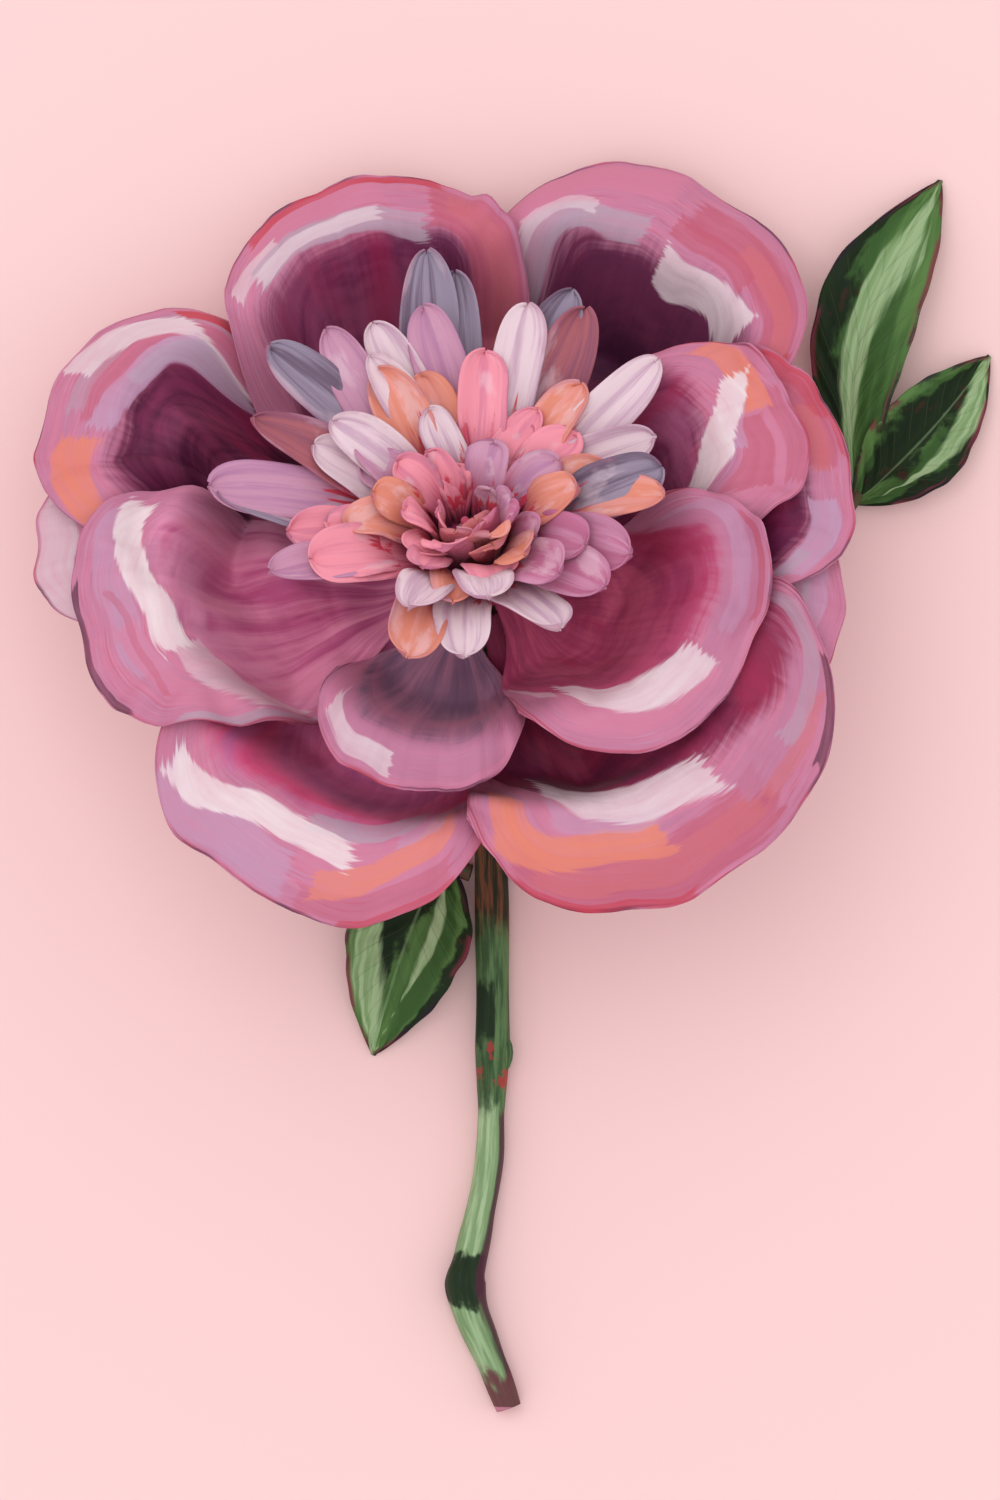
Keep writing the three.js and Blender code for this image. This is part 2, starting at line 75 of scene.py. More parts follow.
# Petals and sepals from the lowest to the highest, in polar sizes round the bloom's axis: the azimuth of
# the middle line, half the angle that the petal spans, and the reach of its tip from the axis
SEPAL = dict(base=-3.2, sag=1, depth=3, belly=0.2, crest=0.9, drop=0.5, curl=0, ripple=0.2, fall=0.6)
GUARD = dict(base=0, sag=3, depth=24, belly=0.45, crest=0.82, drop=5, curl=1.5, ripple=1.1, fall=0.42)
WIDE_GUARD = dict(GUARD, depth=25, drop=7, fall=0.32)
INNER = dict(base=4, sag=0, depth=25, belly=0.3, crest=0.86, drop=4, curl=1.5, ripple=0.9, fall=0.42)
LAYERS = [
    dict(SEPAL, name="sepal_%d" % (k + 1), azimuth=20 + 72 * k, spread=30, reach=reach)
    for k, reach in enumerate((27, 25, 28, 25, 29))
]
LAYERS += [
    dict(GUARD, name="guard_petal_1", azimuth=180, spread=19, reach=76.8, depth=22, crest=0.84),
    dict(GUARD, name="guard_petal_2", azimuth=158, spread=28, reach=80, depth=23, crest=0.83, drop=6),
    dict(GUARD, name="guard_petal_3", azimuth=57, spread=33, reach=82, crest=0.79, sag=18, drop=6),
    dict(GUARD, name="guard_petal_4", azimuth=346, spread=28, reach=67, crest=0.85),
    dict(GUARD, name="guard_petal_5", azimuth=241, spread=35, reach=76.5, depth=25, crest=0.8, fall=0.38),
    dict(GUARD, name="guard_petal_6", azimuth=14, spread=33, reach=69),
    dict(GUARD, name="guard_petal_7", azimuth=109, spread=33, reach=74.5, depth=23, crest=0.85, sag=18),
    dict(WIDE_GUARD, name="guard_petal_8", azimuth=309, spread=39.3, reach=77, crest=0.72),
    dict(GUARD, name="guard_petal_9", azimuth=196.5, spread=30, reach=71, depth=26, crest=0.76),
    dict(INNER, name="inner_petal_1", azimuth=256, spread=32, reach=50, depth=23),
    dict(INNER, name="inner_petal_2", azimuth=22, spread=28, reach=62, crest=0.78),
    dict(INNER, name="inner_petal_3", azimuth=329, spread=45, reach=55.5, depth=27, crest=0.8),
]
ROOT_SPREAD = 0.6  # a petal's width at its root, as a share of its full angle
WIDEST_AT = 0.6  # share of the way out along its side where a petal is at its full angle
TIP_SHARE = 0.3  # the tip's own width, as a share of the full angle
RIPPLES = 2.3  # waves along a petal's margin, from side to side
MARGIN = 14  # the turned-out margin's width
BASE_CLEARANCE = 1.45  # from one petal's middle surface to the next, near the root
BOWL_CLEARANCE = 3.8  # where the bowl is steep
COVER_FULL = 6  # a petal holds up what is above it out to this far past its edge
COVER_END = 18  # and not at all from here on
SOFTNESS = 2  # rounds the line along which a petal starts to rest on another


# Small mathematics, for numbers and arrays alike
def mix(a, b, t):
    return a + (b - a) * t


def smooth(start, end, x):
    t = np.clip((x - start) / (end - start), 0, 1)
    return t * t * (3 - 2 * t)


def wrap_degrees(a):
    return (a + 180) % 360 - 180


def positive_part(x, k):
    return np.where(x >= k, x, np.where(x <= -k, 0, (x + k) ** 2 / (4 * k)))


def unit(v):
    return v / np.linalg.norm(v, axis=-1, keepdims=True)


def seeded_random(seed):
    state = float(seed)
    while True:
        state = math.fmod(state * 1103515245.0 + 12345.0, 2147483648.0)
        yield state / 2147483648.0


# Petal surfaces, as heights over the polar plane of the bloom
def outline(p, d):
    return ROOT_RADIUS + (p["reach"] - ROOT_RADIUS) * (1 - p["fall"] * np.minimum(1, np.abs(d)) ** 3)


def half_angle(p, r):
    s = np.clip((r - ROOT_RADIUS) / (p["reach"] - ROOT_RADIUS), 0, 1)
    side_end = 1 - p["fall"]
    along_side = mix(ROOT_SPREAD, 1, smooth(0, WIDEST_AT, s / side_end))
    past_side = np.maximum(TIP_SHARE, np.cbrt((1 - s) / p["fall"]))
    return p["spread"] * np.where(s < side_end, along_side, past_side)


def free_height(p, r, azimuth):
    """Height of petal p at (r, azimuth) with no other petal under it."""
    d = wrap_degrees(azimuth - p["azimuth"]) / p["spread"]
    across = np.minimum(1, np.abs(d))
    length = (p["reach"] - ROOT_RADIUS) * (1 - 0.12 * across**2)
    s = (r - ROOT_RADIUS) / length
    rise = p["depth"] * smooth(p["belly"], p["crest"], s)
    sag = p["sag"] * np.sin(np.pi * np.clip(s / 0.85, 0, 1)) ** 2
    to_edge = np.clip(1 - (outline(p, d) - r) / MARGIN, 0, 1)
    turned_out = p["drop"] * to_edge**2 * smooth(0.3, 0.7, s)
    curl = p["curl"] * across**4 * s
    wave = p["ripple"] * s**2 * np.sin(np.pi * RIPPLES * d + p["azimuth"])
    return p["base"] + rise - sag - turned_out + curl + wave


def cover(p, r, azimuth):
    """1 where petal p holds up what is above it, falling to 0 away from its edge."""
    off = np.abs(wrap_degrees(azimuth - p["azimuth"]))
    past_tip = r - outline(p, off / p["spread"])
    past_side = np.radians(off - half_angle(p, r)) * r
    return 1 - smooth(COVER_FULL, COVER_END, np.maximum(past_tip, past_side))


def stacked_height(last, r, azimuth):
    """Height of layer last at (r, azimuth), resting on the layers below it and on the floor."""
    y = r * np.sin(np.radians(azimuth))
    clearance = mix(BASE_CLEARANCE, BOWL_CLEARANCE, smooth(20, 40, r))
    table = (SOLID_PETAL_THICKNESS / 2 - BLOOM_HEIGHT + y * math.sin(TILT)) / math.cos(TILT)
    heights = []
    for i in range(last + 1):
        height = free_height(LAYERS[i], r, azimuth)
        for j in range(i):
            held = cover(LAYERS[j], r, azimuth)
            height = height + held * positive_part(heights[j] + clearance - height, SOFTNESS)
        heights.append(np.maximum(height, table))
    return heights[last]


def bloom_to_floor(points):
    """From the bloom's own frame, with its axis upright, to the flower's frame."""
    x, y, z = points[..., 0], points[..., 1], points[..., 2]
    c, s = math.cos(TILT), math.sin(TILT)
    return np.stack([x, y * c + z * s, z * c - y * s + BLOOM_HEIGHT], -1) + ORIGIN_SHIFT


# Meshes
class Surface:
    """Vertices, blocks of faces, and values at the vertices, of one closed form."""

    def __init__(self, vertices, blocks, values):
        self.vertices = vertices
        self.blocks = blocks
        self.values = values

    def hold(self, name, value):
        """Give the whole surface one value."""
        self.values[name] = np.tile(np.atleast_1d(value).astype(float), (len(self.vertices), 1))
        return self


def sheet(points, thickness, values):
    """A closed thin sheet round a grid of middle points, points[along, across], with a rounded rim.
    thickness and each value are arrays of the grid's size. under is 1 on the lower face."""
    along, across = points.shape[:2]
    normal = unit(np.cross(np.gradient(points, axis=1), np.gradient(points, axis=0)))
    half = thickness[..., None] / 2
    loop = [(0, i) for i in range(across)]
    loop += [(j, across - 1) for j in range(1, along)]
    loop += [(along - 1, i) for i in range(across - 2, -1, -1)]
    loop += [(j, 0) for j in range(along - 2, 0, -1)]
    j, i = np.array(loop).T
    inside = points[np.clip(j, 1, along - 2), np.clip(i, 1, across - 2)]
    rim = points[j, i] + unit(points[j, i] - inside) * half[j, i]
    faces = [points + normal * half, points - normal * half]
    vertices = np.concatenate([face.reshape(-1, 3) for face in faces] + [rim])
    count = along * across
    edge = j * across + i
    spread = {}
    for name, value in values.items():
        flat = value.reshape(count, -1)
        spread[name] = np.concatenate([flat, flat, flat[edge]])
    spread["under"] = np.repeat([0.0, 1.0, 0.5], [count, count, len(loop)])[:, None]
    grid = np.arange(count).reshape(along, across)
    top = np.stack([grid[:-1, :-1], grid[:-1, 1:], grid[1:, 1:], grid[1:, :-1]], -1).reshape(-1, 4)
    ring = 2 * count + np.arange(len(loop))
    next_edge, next_ring = np.roll(edge, -1), np.roll(ring, -1)
    upper = np.stack([edge, ring, next_ring, next_edge], -1)
    lower = np.stack([ring, edge + count, next_edge + count, next_ring], -1)
    return Surface(vertices, [top, top[:, ::-1] + count, upper, lower], spread)


def rings(body, ends, round_it):
    """A closed form of rings of vertices, body[steps, sides], with a vertex in the middle of each end.
    round_it is the value across, round each ring."""
    steps, sides = body.shape[:2]
    grid = np.arange(steps * sides).reshape(steps, sides)
    right = np.roll(grid, -1, axis=1)
    walls = np.stack([grid[:-1], right[:-1], right[1:], grid[1:]], -1).reshape(-1, 4)
    start = np.stack([right[0], grid[0], np.full(sides, grid.size)], -1)
    end = np.stack([grid[-1], right[-1], np.full(sides, grid.size + 1)], -1)
    values = {
        "along": np.append(np.repeat(np.linspace(0, 1, steps), sides), [0, 1])[:, None],
        "across": np.append(np.tile(round_it, steps), [0, 0])[:, None],
    }
    return Surface(np.concatenate([body.reshape(-1, 3), ends]), [walls, start, end], values)


def tube(path, radius, sides, bumps=None):
    """A closed round tube along path[steps, 3]. bumps(along, turn) scales the radius over its surface."""
    tangent = unit(np.gradient(path, axis=0))
    level = unit(np.array([1.0, 0.0, 0.0]) - tangent * tangent[:, :1])
    other = np.cross(tangent, level)
    turn = np.arange(sides) / sides
    angle = 2 * np.pi * turn
    spokes = level[:, None] * np.cos(angle)[:, None] + other[:, None] * np.sin(angle)[:, None]
    reach = radius[:, None] * np.ones(sides)
    if bumps is not None:
        reach = reach * bumps(np.linspace(0, 1, len(path))[:, None], turn)
    return rings(path[:, None] + spokes * reach[..., None], path[[0, -1]], np.cos(angle))


def curve_through(points, t):
    """Places at t, from 0 to 1, on a centripetal Catmull-Rom curve through the points."""
    points = np.array(points, float)
    points = np.vstack([2 * points[0] - points[1], points, 2 * points[-1] - points[-2]])
    spans = len(points) - 3
    k = np.minimum(spans - 1, (t * spans).astype(int))
    w = (t * spans - k)[:, None]
    p = [points[k + i] for i in range(4)]
    gap = [np.sqrt(np.linalg.norm(p[i + 1] - p[i], axis=-1, keepdims=True)) for i in range(3)]
    start = (p[1] - p[0]) / gap[0] - (p[2] - p[0]) / (gap[0] + gap[1]) + (p[2] - p[1]) / gap[1]
    end = (p[2] - p[1]) / gap[1] - (p[3] - p[1]) / (gap[1] + gap[2]) + (p[3] - p[2]) / gap[2]
    start, end = start * gap[1], end * gap[1]
    bend = 3 * (p[2] - p[1]) - 2 * start - end
    return p[1] + start * w + bend * w**2 + (2 * (p[1] - p[2]) + start + end) * w**3


def stalk(points, radii, steps, sides, bumps=None):
    """A round tube along a curve through the points, whose radii are evenly spaced along it."""
    t = np.linspace(0, 1, steps)
    radius = np.interp(t * (len(radii) - 1), range(len(radii)), radii)
    return tube(curve_through(points, t), radius, sides, bumps)


def lathe(profile, sides):
    """A closed form of revolution round Z. The profile starts and ends on the axis."""
    radius, height = np.array(profile, float)[1:-1].T
    angle = np.arange(sides) / sides * 2 * np.pi
    ring = np.stack([np.cos(angle), np.sin(angle), np.zeros(sides)], -1)
    body = ring * radius[:, None, None] + np.array([0, 0, 1.0]) * height[:, None, None]
    return rings(body, [[0, 0, profile[0][1]], [0, 0, profile[-1][1]]], np.cos(angle))


def add_piece(name, node, surfaces, material):
    """One object made of surfaces, which stands for a node of the frame."""
    starts = np.cumsum([0] + [len(s.vertices) for s in surfaces])
    vertices = np.concatenate([s.vertices for s in surfaces]) * MM
    faces = []
    for surface, start in zip(surfaces, starts):
        for block in surface.blocks:
            faces += (block + start).tolist()
    mesh = bpy.data.meshes.new(name)
    mesh.from_pydata(vertices.tolist(), [], faces)
    for key in surfaces[0].values:
        data = np.concatenate([s.values[key] for s in surfaces]).astype(np.float32)
        is_vector = data.shape[1] == 3
        attribute = mesh.attributes.new(key, "FLOAT_VECTOR" if is_vector else "FLOAT", "POINT")
        attribute.data.foreach_set("vector" if is_vector else "value", data.ravel())
    mesh.shade_smooth()
    mesh.materials.append(material)
    piece = bpy.data.objects.new(name, mesh)
    bpy.context.scene.collection.objects.link(piece)
    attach(piece, "root")
    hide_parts(node)


# Materials
def colour(code):
    """Linear RGBA of a colour written as #RRGGBB."""
    parts = [int(code[k : k + 2], 16) / 255 for k in (1, 3, 5)]
    return [x / 12.92 if x <= 0.04045 else ((x + 0.055) / 1.055) ** 2.4 for x in parts] + [1.0]


class Graph:
    """The nodes of one material."""

    def __init__(self, name, **constants):
        self.material = bpy.data.materials.new(name)
        self.material.use_nodes = True
        self.nodes = self.material.node_tree.nodes
        self.links = self.material.node_tree.links
        self.shader = self.nodes["Principled BSDF"]
        for socket, value in constants.items():
            self.shader.inputs[socket.replace("_", " ")].default_value = value

    def put(self, socket, value):
        """Feed a socket with another socket, a number or a colour code."""
        if isinstance(value, bpy.types.NodeSocket):
            self.links.new(value, socket)
        else:
            socket.default_value = colour(value) if isinstance(value, str) else value

    def value(self, name, output="Fac"):
        node = self.nodes.new("ShaderNodeAttribute")
        node.attribute_name = name
        return node.outputs[output]

    def values(self, *names):
        return [self.value(name) for name in names]

    def math(self, operation, *values):
        node = self.nodes.new("ShaderNodeMath")
        node.operation = operation
        for socket, value in zip(node.inputs, values):
            self.put(socket, value)
        return node.outputs[0]

    def add(self, a, b):
        return self.math("ADD", a, b)

    def times(self, a, b):
        return self.math("MULTIPLY", a, b)

    def flip(self, a):
        return self.math("SUBTRACT", 1.0, a)

    def step(self, value, low, high):
        """0 below low and 1 above high, smoothly."""
        return self.ramp(value, low, high, "SMOOTHSTEP")

    def fall(self, value, low, high):
        """1 below low and 0 above high, smoothly."""
        return self.flip(self.step(value, low, high))

    def ramp(self, value, low, high, interpolation="LINEAR"):
        """0 below low and 1 above high, and straight between."""
        node = self.nodes.new("ShaderNodeMapRange")
        node.interpolation_type = interpolation
        self.put(node.inputs["Value"], value)
        self.put(node.inputs["From Min"], low)
        self.put(node.inputs["From Max"], high)
        return node.outputs["Result"]

    def window(self, value, start, end, soft):
        """1 between start and end, and 0 past soft beyond them."""
        return self.times(self.step(value, start - soft, start), self.fall(value, end, end + soft))

    def bow(self, t, distances):
        """A smooth run through three distances, met at t 0, 0.5 and 1."""
        low, middle, high = distances
        control = 2 * middle - (low + high) / 2
        slope = self.math("MULTIPLY_ADD", t, low - 2 * control + high, 2 * (control - low))
        return self.math("MULTIPLY_ADD", t, slope, low)

    def grain(self, x, x_scale, y, y_scale, seed, detail=4.0, roughness=0.55):
        """Noise over two values, with so many waves to each unit of either."""
        place = self.place(self.times(x, x_scale), self.times(y, y_scale), seed)
        return self.noise(place, detail, roughness)

    def shaken(self, value, noise, reach):
        """value, moved by noise to half of reach either way."""
        return self.math("MULTIPLY_ADD", self.add(noise, -0.5), reach, value)

    def tones(self, value, low, high, below, above):
        """Two tints, one where value is below low and one where it is above high."""
        return self.mix(self.step(value, low, high), below, above)

    def place(self, x, y, z):
        node = self.nodes.new("ShaderNodeCombineXYZ")
        for socket, value in zip(node.inputs, (x, y, z)):
            self.put(socket, value)
        return node.outputs[0]

    def noise(self, place, detail, roughness):
        node = self.nodes.new("ShaderNodeTexNoise")
        self.put(node.inputs["Vector"], place)
        node.inputs["Scale"].default_value = 1.0
        node.inputs["Detail"].default_value = detail
        node.inputs["Roughness"].default_value = roughness
        return node.outputs["Fac"]

    def mix(self, factor, a, b):
        node = self.nodes.new("ShaderNodeMix")
        node.data_type = "RGBA"
        for index, value in ((0, factor), (6, a), (7, b)):
            self.put(node.inputs[index], value)
        return node.outputs[2]

    def wash(self, body, strength, amount, tint):
        """body with a tint over it where amount is 1, in the strength given."""
        return self.mix(self.times(amount, strength), body, tint)

    def bump(self, height, distance, strength):
        node = self.nodes.new("ShaderNodeBump")
        node.inputs["Strength"].default_value = strength
        node.inputs["Distance"].default_value = distance
        self.put(node.inputs["Height"], height)
        self.links.new(node.outputs[0], self.shader.inputs["Normal"])

    def paint(self, value):
        self.put(self.shader.inputs["Base Color"], value)


MAUVE = "#BC7898"
PINK = "#CF7C9A"
LILAC = "#C196B6"
CORAL = "#E3826C"
SALMON = "#CF6D74"
ROSE = "#BE5870"
# The next two tints are painted highlights, for the pale strokes on a petal's crest and near its rim
HIGHLIGHT_CREAM = "#E2CCD4"
HIGHLIGHT_WHITE = "#ECD8DD"
GREY_LILAC = "#B49BAE"
RED = "#C4303F"
NIGHT = "#3E1830"
CRIMSON = "#A62450"
NAVY = "#3A1C3C"
UNDERSIDE = "#B9789A"

# How each petal is coloured. crest is the distance in millimetres from the rim to the line between the
# margin and the bowl, at one side, the middle and the other side, anticlockwise. bowl has three tints:
# dark, light and the one next to the crest. rays is the strength of pale rays in it, which run from the
# root outwards; without it the bowl is streaked along the rim. glow is the strength of crimson and of
# dark purple patches in it, and dusk is the strength of painted shade along its first side. plain_sides
# takes the margin off a side.
# Each stroke is a tint, where it starts and ends across the petal from -1 to 1, its distance from the rim
# at the start, the middle and the end, its width in millimetres, and its strength. The white and cream
# strokes are painted highlights, on the crest of the turned-out margin and near the rim.
LOOKS = {
    "guard_petal_1": dict(
        crest=(10, 12, 10), bowl=("#8A4468", "#B0708F", "#B0708F"), rays=0.2, glow=0,
        strokes=[(HIGHLIGHT_CREAM, -0.95, 0.9, (3, 4, 3), 8, 0.7)],
    ),
    "guard_petal_2": dict(
        crest=(7, 14, 9), bowl=("#4E1034", "#8C3A5C", "#7A2850"), glow=0.5,
        strokes=[
            (ROSE, -0.9, 0.3, (3, 9, 8), 6, 0.6),
            (GREY_LILAC, -0.95, 0.25, (3, 6, 5), 4, 0.5),
            (HIGHLIGHT_CREAM, -0.74, -0.02, (9.5, 4.5, 3.2), 7, 0.95),
            (LILAC, -0.75, 0.3, (9, 13.5, 8), 5, 0.9),
            (GREY_LILAC, -0.7, -0.1, (9, 13.5, 12.5), 3.2, 0.7),
            (CORAL, 0.12, 0.95, (9, 5.5, 2), 8, 0.95),
            (RED, -1.0, -0.6, (2, 3.5, 4), 4, 0.9),
        ],
    ),
    "guard_petal_3": dict(
        crest=(7, 17, 9), bowl=("#4F1E40", "#7C3458", "#6C2A4C"), glow=0.4,
        strokes=[
            (PINK, 0.0, 0.95, (4, 5, 3), 8, 0.9),
            (ROSE, -0.95, 0.15, (4, 7, 7), 9, 0.85),
            (SALMON, -0.9, -0.15, (3, 6.5, 8), 5, 0.7),
            (ROSE, -0.45, 0.12, (11, 11.5, 11), 5, 0.8),
            (GREY_LILAC, 0.05, 0.85, (14, 13.5, 6.5), 5, 0.85),
            (HIGHLIGHT_CREAM, 0.35, 0.8, (13, 10, 6.5), 3, 0.6),
            (HIGHLIGHT_CREAM, -0.62, 0.12, (11.5, 18, 16), 6, 0.9),
            (RED, -1.0, -0.7, (3, 3, 3), 4, 0.6),
        ],
    ),
    "guard_petal_4": dict(
        crest=(8, 10, 8), bowl=("#5E1B42", "#84385E", "#6E2A50"), glow=0.4,
        strokes=[(LILAC, -0.6, 0.5, (5, 6, 3), 5, 0.7), (GREY_LILAC, -0.5, 0.3, (9, 9, 8), 4, 0.7)],
    ),
    "guard_petal_5": dict(
        crest=(3, 17, 6), bowl=("#C26296", "#DE78A4", "#DC5080"), glow=0.4,
        strokes=[
            (LILAC, -0.76, 0.2, (1.5, 4.5, 3.5), 8, 0.7),
            (PINK, -0.03, 0.84, (10, 9, 4), 9, 0.8),
            (ROSE, 0.05, 0.84, (1.5, 3, 2), 5, 0.55),
            (CORAL, 0.1, 0.84, (3, 8.5, 8.5), 5.5, 0.8),
            (GREY_LILAC, -0.02, 0.68, (13, 16.5, 14.5), 5, 0.85),
            (HIGHLIGHT_WHITE, -0.78, 0.46, (0, 11, 9.5), 6, 0.95),
            (LILAC, 0.43, 0.95, (13, 11, 6), 3, 0.6),
            (RED, 0.25, 0.84, (0.6, 0.6, 0.6), 1.4, 0.6),
        ],
    ),
    "guard_petal_6": dict(
        crest=(5, 9, 8), bowl=("#560F3A", "#7E2C56", "#641A44"), glow=0.4,
        strokes=[
            (ROSE, -0.2, 0.9, (6, 5, 3), 8, 0.85),
            (SALMON, -0.15, 0.35, (6, 5, 4), 4, 0.7),
            (RED, 0.1, 0.9, (2, 2, 2), 4, 0.5),
            (LILAC, -0.8, -0.15, (3, 5, 6), 6, 0.95),
            (GREY_LILAC, -0.98, -0.5, (3.5, 4.5, 6.5), 3, 0.8),
            (RED, -0.1, 0.7, (0.8, 0.8, 0.8), 1.4, 0.6),
        ],
    ),
    "guard_petal_7": dict(
        crest=(9, 12, 7), bowl=("#6A244C", "#A65078", "#84385C"), glow=0.5,
        strokes=[
            (PINK, -0.3, 0.6, (5, 4, 4), 6, 0.85),
            (ROSE, -1.0, -0.3, (5, 7, 6), 11, 0.9),
            (SALMON, -0.95, -0.4, (5, 6.5, 6), 6, 0.5),
            (HIGHLIGHT_CREAM, 0.3, 0.75, (7, 5, 3), 4, 0.7),
            (GREY_LILAC, -0.5, 0.7, (12, 9.5, 6), 5, 0.85),
            (HIGHLIGHT_CREAM, -0.25, 0.66, (9.5, 9, 6.5), 3.2, 0.7),
            (RED, -0.6, 0.6, (1, 1.2, 1.4), 2, 0.85),
        ],
    ),
    "guard_petal_8": dict(
        crest=(11, 18, 0), bowl=("#74264A", "#A03658", "#902C50"), glow=0.6,
        strokes=[
            (PINK, -1.0, 0.2, (12, 15, 12), 6, 0.8),
            (ROSE, -1.0, 0.4, (4, 5, 6.5), 10, 0.85),
            (SALMON, -0.9, 0.3, (3, 5, 6), 5, 0.6),
            (CORAL, -1.0, -0.1, (1, 9.4, 9.8), 6.5, 0.95),
            (LILAC, -0.7, -0.1, (14.5, 14, 14), 3.4, 0.6),
            (MAUVE, 0.0, 0.85, (10, 8, 3), 7, 0.8),
            (SALMON, 0.1, 0.7, (6, 5, 3), 3, 0.6),
            (GREY_LILAC, 0.3, 1.0, (9, 5, 1.5), 3.4, 0.6),
            (HIGHLIGHT_CREAM, -0.72, 0.2, (21.5, 17.5, 14.5), 8.5, 0.9),
            (NIGHT, 0.35, 0.85, (0.8, 0.8, 0.8), 1.8, 0.85),
            (RED, -0.9, -0.1, (0.6, 0.6, 0.6), 1.4, 0.7),
        ],
    ),
    "guard_petal_9": dict(
        crest=(2, 17, 3), bowl=("#BC5484", "#E68CAE", "#E08FB2"), rays=0.8, glow=0.25, painted_side_shade=0.6,
        plain_sides=(30, 0),
        strokes=[
            (LILAC, -0.8, 0.5, (3, 7, 9), 6, 0.6),
            (PINK, -0.1, 0.9, (6, 9, 2), 5, 0.8),
            (ROSE, -0.3, 0.6, (3.5, 9, 5), 1.6, 0.5),
            (HIGHLIGHT_WHITE, -0.88, 0.44, (0.8, 12, 14.5), 5.8, 1.0),
            (HIGHLIGHT_CREAM, 0.1, 0.96, (17, 13.5, 2), 5.5, 0.6),
            (NIGHT, -0.4, 0.6, (0.4, 0.4, 0.4), 1.4, 0.85),
            (GREY_LILAC, 0.6, 1.0, (1.4, 1.4, 1.4), 2.6, 0.8),
        ],
    ),
    "inner_petal_1": dict(
        crest=(5, 8.5, 6), bowl=("#7E5C78", "#AC7690", "#B46C88"), rays=0.25, glow=0,
        strokes=[
            (MAUVE, -0.9, 0.9, (4, 5, 4), 7, 0.9),
            (HIGHLIGHT_CREAM, -0.8, 0.0, (4, 4, 3), 4, 0.75),
        ],
    ),
    "inner_petal_2": dict(
        crest=(7, 17, 2), bowl=("#6C1F48", "#9C3A62", "#AA5C82"), glow=0.6,
        plain_sides=(0, 30),
        strokes=[
            (PINK, -0.8, 0.5, (5, 8, 4), 9, 0.85),
            (ROSE, -0.6, 0.3, (1.5, 3, 1.5), 4, 0.6),
            (ROSE, -0.6, 0.1, (8, 9.5, 8), 6, 0.7),
            (CORAL, -0.05, 0.75, (7, 5, 2), 6.5, 0.9),
            (LILAC, -0.3, 0.4, (13, 10.5, 4), 3, 0.7),
            (HIGHLIGHT_WHITE, -0.66, 0.5, (18.5, 15, 2), 7, 0.95),
            (GREY_LILAC, -0.9, -0.45, (14, 16, 18), 3.5, 0.7),
        ],
    ),
    "inner_petal_3": dict(
        crest=(8, 10, 6), bowl=("#A03860", "#CC5A7E", "#B84870"), glow=0.6,
        strokes=[
            (PINK, -0.9, 0.2, (6, 7, 5), 7, 0.85),
            (MAUVE, -0.2, 0.95, (5, 5, 5), 8, 0.85),
            (LILAC, 0.0, 0.95, (5, 5, 3), 4, 0.5),
            (HIGHLIGHT_CREAM, -0.8, 0.08, (14, 9.8, 6.6), 7.5, 0.95),
            (ROSE, 0.1, 0.8, (1.6, 1.6, 1.6), 1.2, 0.8),
            (HIGHLIGHT_CREAM, -1.0, -0.7, (9, 9, 10), 3.5, 0.6),
        ],
    ),
}


def stroke(g, body, tint, start, end, distances, width, strength):
    """A brushed stroke along the rim of a petal: full in its middle, streaked towards its edges and ends."""
    t = g.ramp(g.across, start, end)
    off = g.math("ABSOLUTE", g.math("SUBTRACT", g.wavy_edge, g.bow(t, distances)))
    full = g.times(g.step(t, 0, 0.3), g.fall(t, 0.7, 1))
    inside = g.math("MULTIPLY_ADD", off, -2 / width, 1)
    cover = g.math("MINIMUM", inside, g.math("MULTIPLY_ADD", full, 1.6, -0.5))
    fray = g.math("MULTIPLY_ADD", full, -0.6, 0.95)
    paint = g.shaken(cover, g.bristles, fray)
    amount = g.times(g.step(paint, 0, 0.22), strength)
    thin = g.times(g.streaks, 0.35)
    return g.mix(amount, body, g.mix(thin, tint, body))


